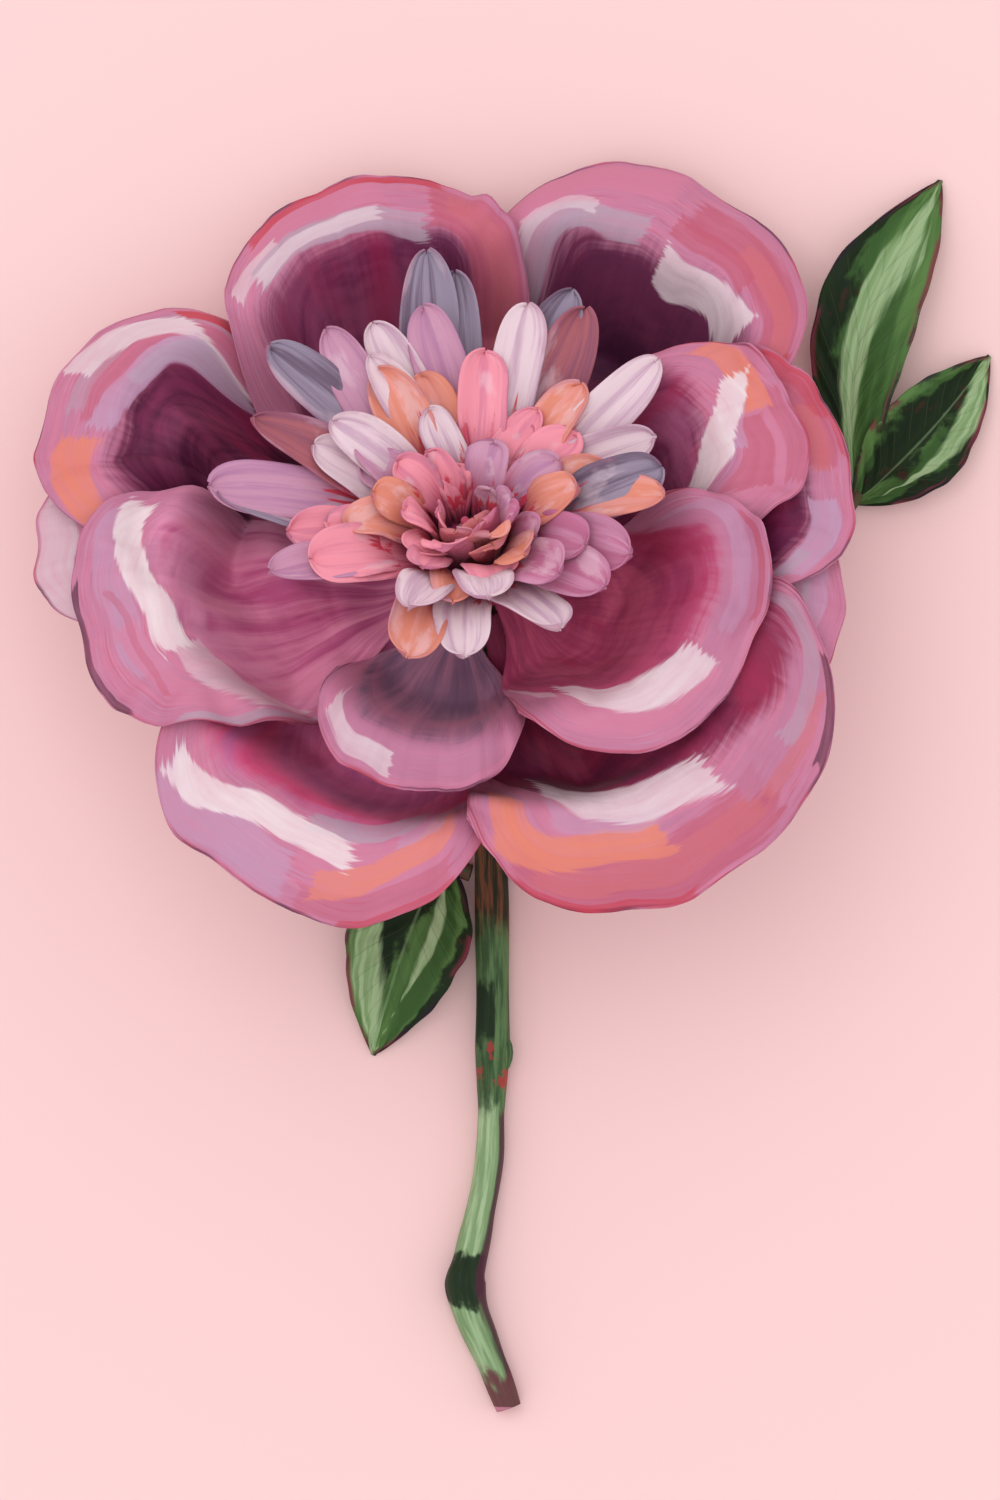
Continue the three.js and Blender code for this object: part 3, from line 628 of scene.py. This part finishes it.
def petal_material(name, look, seed):
    g = Graph(name, Roughness=0.6, Specular_IOR_Level=0.2, Sheen_Weight=0.05, Sheen_Roughness=0.4)
    across, along, edge, arc, under = g.values("across", "along", "edge", "arc", "under")
    rays = g.grain(across, 5, along, 1.2, seed)
    veins = g.grain(across, 22, along, 2.5, seed + 3)
    sweep = g.grain(arc, 0.035, edge, 0.16, seed + 5, 4, 0.6)
    clouds = g.grain(arc, 0.06, edge, 0.07, seed + 6, 3)
    g.across = across
    g.wavy_edge = g.shaken(edge, clouds, 2.4)
    bristles = g.grain(arc, 0.05, edge, 1.3, seed + 9, 5, 0.6)
    g.bristles = g.ramp(bristles, 0.25, 0.75)
    streaks = g.grain(arc, 0.07, edge, 0.5, seed + 12)
    g.streaks = g.ramp(streaks, 0.3, 0.7)

    dark, light, near = look["bowl"]
    rays_strength = look.get("rays", 0.0)
    grain = rays if rays_strength > 0 else sweep
    tone = g.add(g.add(g.times(grain, 0.55), g.times(clouds, 0.3)), g.times(veins, 0.15))
    bowl = g.mix(g.step(tone, 0.41, 0.6), dark, light)
    pale_rays = g.times(g.step(g.add(g.times(rays, 0.5), g.times(veins, 0.5)), 0.46, 0.66), rays_strength)
    bowl = g.wash(bowl, g.step(along, 0.25, 0.65), pale_rays, PINK)
    past_crest = g.math("SUBTRACT", g.wavy_edge, g.bow(g.ramp(across, -1, 1), look["crest"]))
    close = g.times(g.fall(past_crest, 2, 13), g.step(sweep, 0.35, 0.6))
    bowl = g.mix(close, bowl, near)
    shade = g.grain(across, 1.6, along, 2.2, seed + 15, 4, 0.6)
    bowl = g.wash(bowl, look["glow"], g.step(shade, 0.52, 0.66), CRIMSON)
    bowl = g.wash(bowl, 0.5 * look["glow"], g.fall(shade, 0.34, 0.46), NAVY)

    # Painted shade: NIGHT darkens the bowl along the petal's first side
    painted_side_shade = g.fall(g.shaken(across, veins, 0.25), -1, -0.55)
    bowl = g.wash(bowl, look.get("painted_side_shade", 0), painted_side_shade, NIGHT)

    margin = g.mix(g.streaks, MAUVE, PINK)
    hairs = g.grain(arc, 0.09, edge, 2.4, seed + 18, 4, 0.6)
    margin = g.wash(margin, 0.5, g.step(hairs, 0.56, 0.68), LILAC)
    margin = g.wash(margin, 0.45, g.fall(hairs, 0.34, 0.44), ROSE)
    frayed = g.shaken(g.shaken(past_crest, veins, 4), g.bristles, 2.5)
    body = g.mix(g.step(frayed, -2.5, 2.5), margin, bowl)
    for tint, start, end, distances, width, strength in look["strokes"]:
        body = stroke(g, body, tint, start, end, distances, width, strength)
    line = g.times(g.fall(edge, 0.1, 0.8), g.step(g.bristles, 0.4, 0.7))
    line_tint = g.tones(clouds, 0.45, 0.55, "#4C1C3A", "#B42E46")
    body = g.wash(body, 0.8, line, line_tint)
    back = g.mix(g.step(veins, 0.4, 0.7), UNDERSIDE, PINK)
    g.paint(g.mix(g.step(under, 0.6, 0.9), body, back))
    g.bump(g.add(g.times(rays, 0.6), g.add(veins, g.times(g.bristles, 0.3))), 0.0004, 0.4)
    return g.material


# Petals and sepals
PETAL_ROWS, PETAL_COLUMNS = 100, 88
RIM_THICKNESS = 0.3  # a petal grows from this to its full thickness
RIM_WIDTH = 9  # within this distance from its edge
EDGE_BLEND = 6.0  # rounds the corners between the tip's edge and the sides


def soft_minimum(a, b, k):
    h = np.maximum(k - np.abs(a - b), 0) / k
    return np.minimum(a, b) - h * h * k / 4


def petal_grid(number, rows, columns, plain_sides=(0, 0)):
    """Middle points in the bloom's frame, and the values that the materials read. edge is the distance
    from the rim in millimetres, made longer by plain_sides along the petal's two sides."""
    p = LAYERS[number]
    v, u = np.meshgrid(np.linspace(0, 1, rows), np.linspace(1, -1, columns), indexing="ij")
    v = 1 - (1 - v) ** 1.25
    phases = np.random.default_rng(number).uniform(0, 2 * np.pi, 8)
    is_sepal = p["name"].startswith("sepal")
    nibble = 0.0 if is_sepal else 0.006 * np.sin(7 * u + phases[0]) + 0.004 * np.sin(17 * u + phases[1])
    end = outline(p, u) * (1 + nibble)
    r = ROOT_RADIUS + v * (end - ROOT_RADIUS)
    half = half_angle(p, np.minimum(r, ROOT_RADIUS + (p["reach"] - ROOT_RADIUS) * (1 - p["fall"])))
    azimuth = p["azimuth"] + u * half
    height = stacked_height(number, r, azimuth)
    tip_edge = (1 - v) * (end - ROOT_RADIUS)
    side_reach = np.radians(half) * r
    past_root = 26 * (1 - smooth(0.3, 0.75, v))
    sides = [(1 - d * u) * side_reach + past_root + hidden for d, hidden in zip((-1, 1), plain_sides)]
    edge = soft_minimum(tip_edge, soft_minimum(*sides, EDGE_BLEND), EDGE_BLEND)
    if not is_sepal:
        frill = 0.45 * np.sin(11 * u + phases[2]) + 0.3 * np.sin(23 * u + phases[3] + 3 * v)
        pleats = 0.1 * np.sin(46 * u + phases[4]) + 0.07 * np.sin(71 * u + phases[5])
        height = height + frill * smooth(11, 0, edge) + pleats * smooth(0.05, 0.4, v)
    x, y = r * np.cos(np.radians(azimuth)), r * np.sin(np.radians(azimuth))
    points = np.stack([x, y, height], -1)
    return points, {"across": u, "along": v, "edge": edge, "arc": u * side_reach}


def add_petals():
    for number, p in enumerate(LAYERS):
        name = p["name"]
        if name.startswith("sepal"):
            continue
        sides = LOOKS[name].get("plain_sides", (0, 0))
        points, values = petal_grid(number, PETAL_ROWS, PETAL_COLUMNS, sides)
        thickness = mix(RIM_THICKNESS, SOLID_PETAL_THICKNESS, smooth(0, RIM_WIDTH, values["edge"]))
        points = bloom_to_floor(points)
        points[..., 2] = np.maximum(points[..., 2], thickness / 2)
        surface = sheet(points, thickness, values)
        material = petal_material("petal_skin_" + name, LOOKS[name], 10.0 * number)
        add_piece("fine_" + name, name, [surface], material)


add_petals()


# Staminodes: narrow blades in whorls on a disc. The letters give each blade its two tints, anticlockwise
TINTS = {
    "g": (colour("#998AA0"), colour("#6E5A70")),
    "w": (colour("#E6CCD5"), colour("#CBA6BC")),
    "l": (colour("#CC94B0"), colour("#B981A6")),
    "m": (colour("#C06E92"), colour("#CE8CAC")),
    "r": (colour("#AC6069"), colour("#905268")),
    "p": (colour("#F296A8"), colour("#DE849E")),
    "c": (colour("#E08A76"), colour("#E89A92")),
}
STAMINODE_SEED = 33
WHORLS = [
    dict(root=9.2, reach=39, height=32.5, lean=12.5, width=9, phase=14, tints="wrgggglglcwwmg"),
    dict(root=8.4, reach=32.5, height=34, lean=11, width=8.8, phase=2, tints="cwwlwlrppwwmm"),
    dict(root=7.6, reach=25, height=35, lean=9.5, width=8, phase=12, tints="ccpwcwppcpcm"),
    dict(root=6.8, reach=19, height=35.5, lean=8.5, width=7.4, phase=0, tints="cppcwlcppcm"),
    dict(root=6, reach=13.5, height=35.5, lean=7.5, width=7, phase=17, tints="lpwlcppcm"),
    dict(root=5.2, reach=9, height=34.5, lean=5.5, width=6.4, phase=2, tints="llpppcp"),
    dict(root=4.8, reach=5.6, height=33, lean=3.5, width=5.8, phase=30, tints="lppc"),
]
TUFT_LEANS_TO = 108  # azimuth of the side on which the blades lean out and crowd
CROWDING = 12
# The full range of what chance changes, in steps between blades, millimetres and degrees
CHANCE = dict(place=0.5, reach=5, height=5, twist=50, sway=30)
DISC_RADIUS = 10.6  # the blades' roots stand in this disc
DISC_LOW = RECEPTACLE_TOP + GAP
DISC_HIGH = 18.0
BLADE_ROWS, BLADE_COLUMNS = 34, 15
UP = np.array([0, 0, 1.0])


def outward(angle):
    return np.array([math.cos(angle), math.sin(angle), 0])


def staminode(whorl, azimuth, tints, random, rng):
    out = outward(math.radians(azimuth))
    lean = whorl["lean"] * math.cos(math.radians(azimuth - TUFT_LEANS_TO))
    reach = whorl["reach"] + lean + CHANCE["reach"] * (next(random) - 0.5)
    height = whorl["height"] - 0.5 * lean + CHANCE["height"] * (next(random) - 0.5)
    width = whorl["width"] * mix(0.85, 1.15, next(random))
    twist = math.radians(CHANCE["twist"] * (next(random) - 0.5))
    sway = math.radians(CHANCE["sway"] * (next(random) - 0.5))
    level = np.array([-out[1], out[0], 0])
    a = out * whorl["root"] + UP * (DISC_LOW + 2)
    b = out * mix(whorl["root"], reach, 0.2) + UP * mix(DISC_HIGH, height, 0.93)
    c = (out + level * math.tan(sway)) * reach + UP * height
    v, u = np.meshgrid(np.linspace(0, 1, BLADE_ROWS), np.linspace(1, -1, BLADE_COLUMNS), indexing="ij")
    t = 1 - (1 - v) ** 1.5
    s = t[..., None]
    path = a * (1 - s) ** 2 + b * 2 * s * (1 - s) + c * s**2
    tangent = unit((b - a) * (1 - s) + (c - b) * s)
    square = unit(level - tangent * (tangent @ level)[..., None])
    side = square * np.cos(twist * s) + np.cross(tangent, square) * np.sin(twist * s)
    face = unit(np.cross(side, tangent))
    rounding = np.sqrt(np.maximum(0.01, 1 - np.clip((t - 0.7) / 0.3, 0, 1) ** rng.uniform(3.0, 5.0)))
    half = width / 2 * mix(0.28, 1.06, smooth(0.1, 0.7, t)) * rounding
    half = half * (1 + 0.05 * np.sin(rng.uniform(9, 14) * t + rng.uniform(0, 6) + np.sign(u)))
    lift = -0.14 * width * t * u * u + 0.03 * width * t * np.sin(5 * u + rng.uniform(0, 6))
    ruffle = 0.06 * width * np.abs(u) * np.sin(9 * t + rng.uniform(0, 6) + 2 * np.sign(u))
    curl = rng.uniform(-0.6, 1.2) * smooth(0.65, 1, t) ** 2
    nicks = 0.22 * np.sin(rng.uniform(5, 9) * u + rng.uniform(0, 6))
    nicks = nicks + 0.12 * np.sin(17 * u + rng.uniform(0, 6))
    notch = rng.choice([0, 0, 0.3, 0.6]) * np.exp(-((u / 0.35) ** 2)) + nicks
    points = path + side * (u * half)[..., None] + face * (lift + ruffle + curl)[..., None]
    points = points - tangent * (notch * smooth(0.8, 1, t))[..., None]
    values = {
        "across": u,
        "along": t,
        "seed": np.full_like(u, rng.uniform(0, 50)),
        "tint": np.broadcast_to(tints[0][:3], (*u.shape, 3)),
        "streak_tint": np.broadcast_to(tints[1][:3], (*u.shape, 3)),
    }
    return sheet(bloom_to_floor(points), mix(0.9, 0.4, smooth(0.2, 1, t)), values)


def staminode_material():
    g = Graph("staminode_skin", Roughness=0.6, Specular_IOR_Level=0.2, Sheen_Weight=0.06)
    across, along, seed, under = g.values("across", "along", "seed", "under")
    bristles = g.grain(across, 2.2, along, 0.9, seed, 5, 0.62)
    patches = g.grain(across, 0.9, along, 3, g.add(seed, 7))
    body = g.mix(g.step(bristles, 0.44, 0.62), g.value("tint", "Color"), g.value("streak_tint", "Color"))
    body = g.wash(body, 0.35, g.step(patches, 0.54, 0.66), "#EFD3DE")
    low = g.shaken(along, bristles, 1.1)
    # The crimson wash here and the deep plum one below darken each blade towards its root: painted shade
    # deep down between the blades
    body = g.wash(body, 0.85, g.fall(low, 0.2, 0.62), "#BC3A66")
    fleck = g.times(g.window(low, 0.26, 0.5, 0.06), g.step(patches, 0.5, 0.56))
    body = g.wash(body, 0.85, fleck, "#D22B46")
    body = g.wash(body, 0.85, g.fall(low, 0.08, 0.34), "#6A1646")
    side = g.times(g.step(g.math("ABSOLUTE", across), 0.8, 1), g.step(patches, 0.46, 0.6))
    body = g.wash(body, 0.4, side, "#A2587C")
    g.paint(g.wash(body, 0.5, g.step(under, 0.6, 0.9), "#9C4270"))
    g.bump(g.add(bristles, g.times(patches, 0.5)), 0.0002, 0.4)
    return g.material


def add_staminodes():
    random = seeded_random(STAMINODE_SEED)
    rng = np.random.default_rng(STAMINODE_SEED)
    surfaces = []
    for whorl in WHORLS:
        count = len(whorl["tints"])
        for k, letter in enumerate(whorl["tints"]):
            even = whorl["phase"] + (k + CHANCE["place"] * (next(random) - 0.5)) * 360 / count
            azimuth = even - CROWDING * math.sin(math.radians(even - TUFT_LEANS_TO))
            surfaces.append(staminode(whorl, azimuth, TINTS[letter], random, rng))
    profile = [(0, DISC_LOW), (9.6, DISC_LOW), (10.3, DISC_LOW + 0.3), (DISC_RADIUS, DISC_LOW + 1.2)]
    profile += [(9.8, 15.4), (8.4, DISC_HIGH - 1.2), (6.4, 17.6), (4.4, DISC_HIGH), (0, DISC_HIGH)]
    disc = lathe(profile, 48)
    disc.vertices = bloom_to_floor(disc.vertices)
    disc.hold("along", 0.3).hold("seed", 3.0).hold("under", 0.0)
    disc.hold("tint", TINTS["m"][0][:3]).hold("streak_tint", TINTS["m"][1][:3])
    surfaces.append(disc)
    add_piece("fine_staminodes", "staminodes", surfaces, staminode_material())


# Carpels: downy flasks with a crest of stigma
CARPELS = 4
CARPEL_RADIUS = 1.7


def carpel_material():
    g = Graph("carpel_skin", Roughness=0.6, Sheen_Weight=0.4, Sheen_Roughness=0.5)
    across, along = g.values("across", "along")
    down = g.grain(across, 9, along, 18, 2, 3)
    body = g.tones(down, 0.4, 0.65, "#B98A5E", "#D9B48A")
    top = g.step(g.add(along, g.times(down, 0.15)), 0.6, 0.78)
    g.paint(g.mix(top, body, "#D9446E"))
    g.bump(down, 0.0002, 0.6)
    return g.material


def add_carpels():
    low = DISC_HIGH + GAP
    foot = [(0, 0), (3.4, 0), (3.6, 0.2), (3.2, 1.2), (2.9, 1.4), (0, 1.4)]
    base = lathe([(radius, low + height) for radius, height in foot], 32)
    surfaces = [base.hold("along", 0.0)]
    radii = CARPEL_RADIUS * np.array([1, 1.05, 0.75, 0.47, 0.41])
    for k in range(CARPELS):
        out = outward((k + 0.3) / CARPELS * 2 * np.pi)
        points = [out * r + UP * (low + z) for r, z in ((1.5, 0.5), (1.7, 3), (1.4, 6), (1.7, 8))]
        surfaces.append(stalk(points, radii, 40, 20))
    for surface in surfaces:
        surface.vertices = bloom_to_floor(surface.vertices)
    add_piece("fine_carpels", "carpels", surfaces, carpel_material())


# Sepals
SEPAL_ROWS, SEPAL_COLUMNS = 36, 28


def sepal_material():
    g = Graph("sepal_skin", Roughness=0.5)
    across, along, edge = g.values("across", "along", "edge")
    ribs = g.grain(across, 9, along, 1.5, 4)
    body = g.tones(ribs, 0.4, 0.65, "#3E5E34", "#79985A")
    blush = g.times(g.fall(edge, 0.3, 3), g.step(ribs, 0.35, 0.6))
    g.paint(g.wash(body, 0.8, blush, "#7A2E48"))
    g.bump(ribs, 0.0004, 0.5)
    return g.material


def add_sepals():
    material = sepal_material()
    for number, p in enumerate(LAYERS):
        if p["name"].startswith("sepal"):
            points, values = petal_grid(number, SEPAL_ROWS, SEPAL_COLUMNS)
            thickness = mix(0.5, SOLID_SEPAL_THICKNESS, smooth(0, 4, values["edge"]))
            surface = sheet(bloom_to_floor(points), thickness, values)
            add_piece("fine_" + p["name"], p["name"], [surface], material)


# The stem, its receptacle and its side bud. Paths are in the flower's frame before ORIGIN_SHIFT
STEM_PATH = [
    (0, -0.2, 20), (0, -3.4, 12.6), (0.6, -9.5, 6.2), (2, -20, 4), (3.4, -36, 3.6), (3.8, -52, 3.6),
    (4, -68, 3.8), (4, -82, 3.8), (3.8, -94, 3.4), (3.4, -103, 3.1), (1.7, -112.5, 3), (0.1, -120, 3.2),
    (-0.8, -124.5, 3.7), (0, -129, 3.5), (2.3, -135, 3), (4.6, -140.5, 2.8), (7, -147, 2.45),
]
STEM_RADII = [3.4, 3.5, 3.2, 3.1, 3.1, 3, 3, 3.05, 2.4, 2.5, 2.7, 3, 3.6, 3.35, 2.85, 2.65, 2.3]
RECEPTACLE_PROFILE = [
    (0, -9.5), (3.3, -9.5), (3.7, -8.6), (4.4, -7), (5.7, -5.7), (7.2, -4.6), (8.1, -4.1), (8.5, -3.6),
    (8.5, 12.4), (8.2, 12.9), (7.8, RECEPTACLE_TOP), (0, RECEPTACLE_TOP),
]
BUD_AT = (6.3, -83.5, 4.2)
BUD_PROFILE = [
    (0, -3.2), (0.8, -2.9), (1.3, -1.9), (1.5, -0.4), (1.35, 0.9), (0.9, 2.2), (0.3, 3.1), (0, 3.2),
]


def stem_material():
    """The stem's colours change along it: down is the distance from the bloom's axis in millimetres."""
    g = Graph("stem_skin", Roughness=0.55, Specular_IOR_Level=0.15)
    across, down, part = g.values("across", "down", "part")
    fibres = g.grain(across, 3, down, 0.07, part, 5, 0.6)
    patches = g.grain(across, 1.3, down, 0.2, 8)
    place = g.shaken(down, patches, 12)
    right = g.shaken(across, fibres, 1.4)
    body = g.tones(fibres, 0.4, 0.6, "#3C5836", "#5D7C50")
    light = g.add(g.window(place, 93, 118, 3), g.times(g.window(place, 129, 140, 3), 0.8))
    light = g.times(light, g.fall(right, 0.35, 0.75))
    body = g.mix(light, body, g.tones(fibres, 0.42, 0.62, "#7E9A6E", "#A3BC90"))
    dark = g.add(g.window(place, 72, 80, 3), g.times(g.window(place, 84, 92, 3), 0.5))
    dark = g.times(dark, g.fall(right, -0.1, 0.4))
    dark = g.add(dark, g.window(place, 120, 127, 2))
    body = g.wash(body, 0.9, dark, "#142314")
    rust = g.tones(fibres, 0.45, 0.58, "#241512", "#6E3020")
    body = g.wash(body, 0.85, g.fall(place, 57, 64), rust)
    edge = g.times(g.step(right, 0.45, 0.8), g.window(place, 95, 142, 3))
    body = g.wash(body, 0.85, edge, "#4E2338")
    body = g.wash(body, 0.85, g.step(place, 139, 143), "#6B3340")
    flecks = g.times(g.window(place, 84, 94, 2), g.step(patches, 0.53, 0.6))
    body = g.wash(body, 0.85, flecks, "#A8343A")
    cut = g.times(g.step(down, 146.7, 146.9), g.fall(part, 0.2, 0.3))
    g.paint(g.mix(cut, body, "#B8788A"))
    g.bump(fibres, 0.0004, 0.6)
    return g.material


def stem_bumps(along, turn):
    """Ridges along the stem and rings round it, as a share of its radius."""
    ridges = 0.025 * np.sin(2 * np.pi * 7 * turn + 5 * along)
    bands = 0.03 * np.sin(60 * along + 2 * np.sin(2 * np.pi * turn))
    return 1 + ridges + bands


def add_stem():
    shaft = stalk(STEM_PATH, STEM_RADII, 220, 40, stem_bumps)
    receptacle = lathe(RECEPTACLE_PROFILE, 48)
    receptacle.vertices = bloom_to_floor(receptacle.vertices) - ORIGIN_SHIFT
    bud = lathe(BUD_PROFILE, 24)
    x, y, z = bud.vertices.T
    bud.vertices = np.stack([x, -z, y * 1.05], -1) + BUD_AT
    surfaces = [shaft, receptacle, bud]
    for part, surface in enumerate(surfaces):
        surface.hold("part", part)
        surface.values["down"] = -surface.vertices[:, 1:2]
        surface.vertices = surface.vertices + ORIGIN_SHIFT
    add_piece("fine_stem", "stem", surfaces, stem_material())


# Leaves: pointed blades, folded a little along the midrib, on round petioles. light and dark are streaks
# of colour, as depth_in reads them
LEAF_THICKNESS = 0.8
LEAF_ROWS, LEAF_COLUMNS = 110, 57
SIDE_VEINS = 9  # on each side of the midrib
LEAVES = {
    "leaf_right": dict(
        petiole=[
            (8, -50.5, 3.4), (14, -46, 2.6), (30, -31, 2.2), (50, -9, 2.4), (63, 7, 2.8), (70, 17.5, 2.6),
        ],
        radii=[1.7, 1.4, 1.25, 1.2, 1.2, 1.1],
        blades=[
            dict(
                base=(69.3, 16.5, 2.4), tip=(84.6, 73.6, 1.2),
                width=18, bend=-0.115, arch=6, lean=-0.12, widest=0.58,
                light=[((0.2, 0.08, 0, -0.18, -0.35), (0.1, 0.3, 0.4, 0.58, 0.1))],
                dark=[((1, 1, 1, 0.95, 0.9), (0.65, 0.85, 0.78, 0.4, 0.1))],
            ),
            dict(
                base=(69.2, 15.4, 2.2), tip=(93.4, 42, 1.2),
                width=17, bend=0.03, arch=4, lean=0.15, widest=0.42,
                light=[((-0.4, -0.5, -0.55, -0.55, -0.2), (0, 0.04, 0.22, 0.45, 0.6))],
                dark=[
                    ((-1, -1, -1, -1, -1), (0.3, 0.4, 0.4, 0.25, 0.1)),
                    ((0.2, 0.25, 0.25, 0.3, 0.4), (0, 0.5, 0.62, 0.5, 0.1)),
                ],
            ),
        ],
    ),
    "leaf_left": dict(
        petiole=[(0.15, -50.9, 3.3), (-2.9, -50.1, 3), (-4.6, -50.6, 2.6), (-6.6, -53.6, 2.3)],
        radii=[1.6, 1.4, 1.3, 1.1],
        blades=[
            dict(
                base=(-4.6, -47.5, 2.6), tip=(-17.4, -83.6, 0.9),
                width=21.5, bend=0.03, arch=4, lean=0.1, widest=0.4,
                light=[
                    ((-0.8, -0.8, -0.6, -0.45, -0.3), (0, 0.1, 0.34, 0.46, 0.5)),
                    ((0.3, 0.4, 0.4, 0.3, 0.2), (0, 0.14, 0.14, 0, 0)),
                ],
                dark=[
                    ((-0.1, -0.3, -0.3, -0.2, -0.2), (1, 0.55, 0.32, 0, 0)),
                    ((1, 1, 1, 1, 1), (0.2, 0.2, 0.2, 0.25, 0.1)),
                ],
            ),
        ],
    ),
}


def depth_in(streaks, u, t):
    """How far inside the nearest streak a place is: 1 on its middle line, 0 at its edge. Each streak has
    its middle line across the leaf and its half width, at five stations from the base to the tip."""
    stations = np.linspace(0, 1, 5)
    depth = np.full_like(u, -4.0)
    for middles, widths in streaks:
        middle, width = np.interp(t, stations, middles), np.interp(t, stations, widths)
        depth = np.maximum(depth, 1 - np.abs(u - middle) / np.maximum(width, 0.01))
    return depth


def leaf_blade(base, tip, width, bend, arch, lean, widest, light, dark):
    start, run = np.array(base, float), np.subtract(tip, base).astype(float)
    length = np.linalg.norm(run)
    side = unit(np.array([run[1], -run[0], 0]))
    t, u = np.meshgrid(np.linspace(0, 1, LEAF_ROWS), np.linspace(1, -1, LEAF_COLUMNS), indexing="ij")
    to_widest = np.sin(np.pi / 2 * np.minimum(1, t / widest)) ** 0.8
    past_widest = np.cos(np.pi / 2 * np.clip((t - widest) / (1 - widest), 0, 1)) ** 0.85
    half = np.maximum(0.35, width / 2 * np.where(t < widest, to_widest, past_widest))
    half = half * (1 + 0.02 * np.sin(19 * t + u) + 0.012 * np.sin(43 * t + 2 * u))
    points = start + run * t[..., None]
    points = points + side * (-u * half + bend * length * np.sin(np.pi * t))[..., None]
    fold = 0.22 * half * np.abs(u) * (1 - 0.5 * t)
    wave = 0.05 * half * np.abs(u) * np.sin(9 * t + 2 * np.sign(u))
    rise = arch * np.sin(np.pi * t) + fold + wave + lean * u * half * np.sin(np.pi * t)
    vein_phase = 2 * np.pi * (SIDE_VEINS * t - 2.6 * np.abs(u) ** 0.8)
    quilting = 0.16 * np.cos(vein_phase) * smooth(0, 0.3, np.abs(u)) * smooth(1, 0.8, np.abs(u))
    points[..., 2] = np.maximum(LEAF_THICKNESS / 2, points[..., 2] + rise + quilting * smooth(0, 0.15, t))
    edge = (1 - np.abs(u)) * half
    values = {
        "across": u,
        "along": t,
        "edge": edge,
        "vein": vein_phase / (2 * np.pi),
        "light": depth_in(light, u, t),
        "dark": depth_in(dark, u, t),
    }
    return sheet(points + ORIGIN_SHIFT, mix(0.35, LEAF_THICKNESS, smooth(0, 2, edge)), values)


def leaf_material():
    g = Graph("leaf_skin", Roughness=0.55, Specular_IOR_Level=0.15)
    across, along, edge, vein = g.values("across", "along", "edge", "vein")
    under, stalk, light, dark = g.values("under", "stalk", "light", "dark")
    strokes = g.grain(across, 2.2, along, 1.1, 1, 4, 0.5)
    blotches = g.grain(across, 2, along, 6, 5)
    fine = g.grain(across, 9, along, 2, 3)
    body = g.tones(strokes, 0.38, 0.62, "#375829", "#587C42")
    shade = g.step(g.shaken(dark, blotches, 2.4), -0.1, 0.35)
    deep = g.tones(blotches, 0.58, 0.66, "#0A1808", "#341814")
    body = g.wash(body, 0.93, shade, deep)
    swept = g.shaken(light, g.add(g.times(strokes, 0.6), g.times(fine, 0.4)), 1.7)
    pale = g.tones(fine, 0.4, 0.6, "#7F9C6A", "#9DB588")
    body = g.wash(body, 0.95, g.step(swept, 0, 0.45), pale)
    ribs = g.math("ABSOLUTE", g.math("SINE", g.times(vein, math.pi)))
    rib_line = g.times(g.fall(ribs, 0.02, 0.2), g.step(edge, 0.3, 2))
    midrib = g.fall(g.math("ABSOLUTE", across), 0.01, 0.05)
    body = g.mix(g.add(g.times(rib_line, 0.05), g.times(midrib, 0.3)), body, "#8BA878")
    line = g.times(g.fall(edge, 0.2, 1.1), g.step(blotches, 0.42, 0.52))
    line_tint = g.tones(fine, 0.45, 0.55, "#241826", "#7A3040")
    body = g.wash(body, 0.85, line, line_tint)
    back = g.tones(fine, 0.4, 0.65, "#5C7850", "#768F66")
    body = g.mix(g.step(under, 0.6, 0.9), body, back)
    bark = g.tones(fine, 0.4, 0.6, "#3F5C36", "#6B3238")
    g.paint(g.mix(stalk, body, bark))
    g.bump(g.add(fine, g.times(g.flip(rib_line), 1.5)), 0.0003, 0.5)
    return g.material


def add_leaves():
    material = leaf_material()
    for name, leaf in LEAVES.items():
        petiole = stalk(np.add(leaf["petiole"], ORIGIN_SHIFT), leaf["radii"], 90, 20)
        surfaces = [leaf_blade(**blade).hold("stalk", 0.0) for blade in leaf["blades"]]
        for key in ("edge", "vein", "light", "dark", "under"):
            petiole.hold(key, 0.0)
        surfaces.append(petiole.hold("stalk", 1.0))
        add_piece("fine_" + name, name, surfaces, material)


add_staminodes()
add_carpels()
add_sepals()
add_stem()
add_leaves()


# The floor and the light. Sizes are in metres from here on
FLOOR_SIZE = 30
KEY_PLACE = (-0.35, 0.4, 2.2)
KEY_SIZE = 1.6
KEY_POWER = 13
SKY_STRENGTH = 0.88


def make_floor():
    g = Graph("floor_paper", Roughness=0.9)
    g.paint("#F9D0D0")
    bpy.ops.mesh.primitive_plane_add(size=FLOOR_SIZE, location=(0, 0, 0))
    floor = bpy.context.object
    floor.name = "floor"
    floor.data.materials.append(g.material)


def make_light():
    """A soft light overhead, and a white sky all round."""
    data = bpy.data.lights.new("key", "AREA")
    data.size = KEY_SIZE
    data.energy = KEY_POWER
    light = bpy.data.objects.new("key", data)
    light.location = KEY_PLACE
    light.rotation_euler = (-Vector(KEY_PLACE)).to_track_quat("-Z", "Y").to_euler()
    bpy.context.scene.collection.objects.link(light)
    bpy.context.scene.view_settings.view_transform = "Standard"
    world = bpy.data.worlds.new("studio")
    bpy.context.scene.world = world
    world.use_nodes = True
    sky = world.node_tree.nodes["Background"]
    sky.inputs["Color"].default_value = (1, 1, 1, 1)
    sky.inputs["Strength"].default_value = SKY_STRENGTH


make_floor()
make_light()
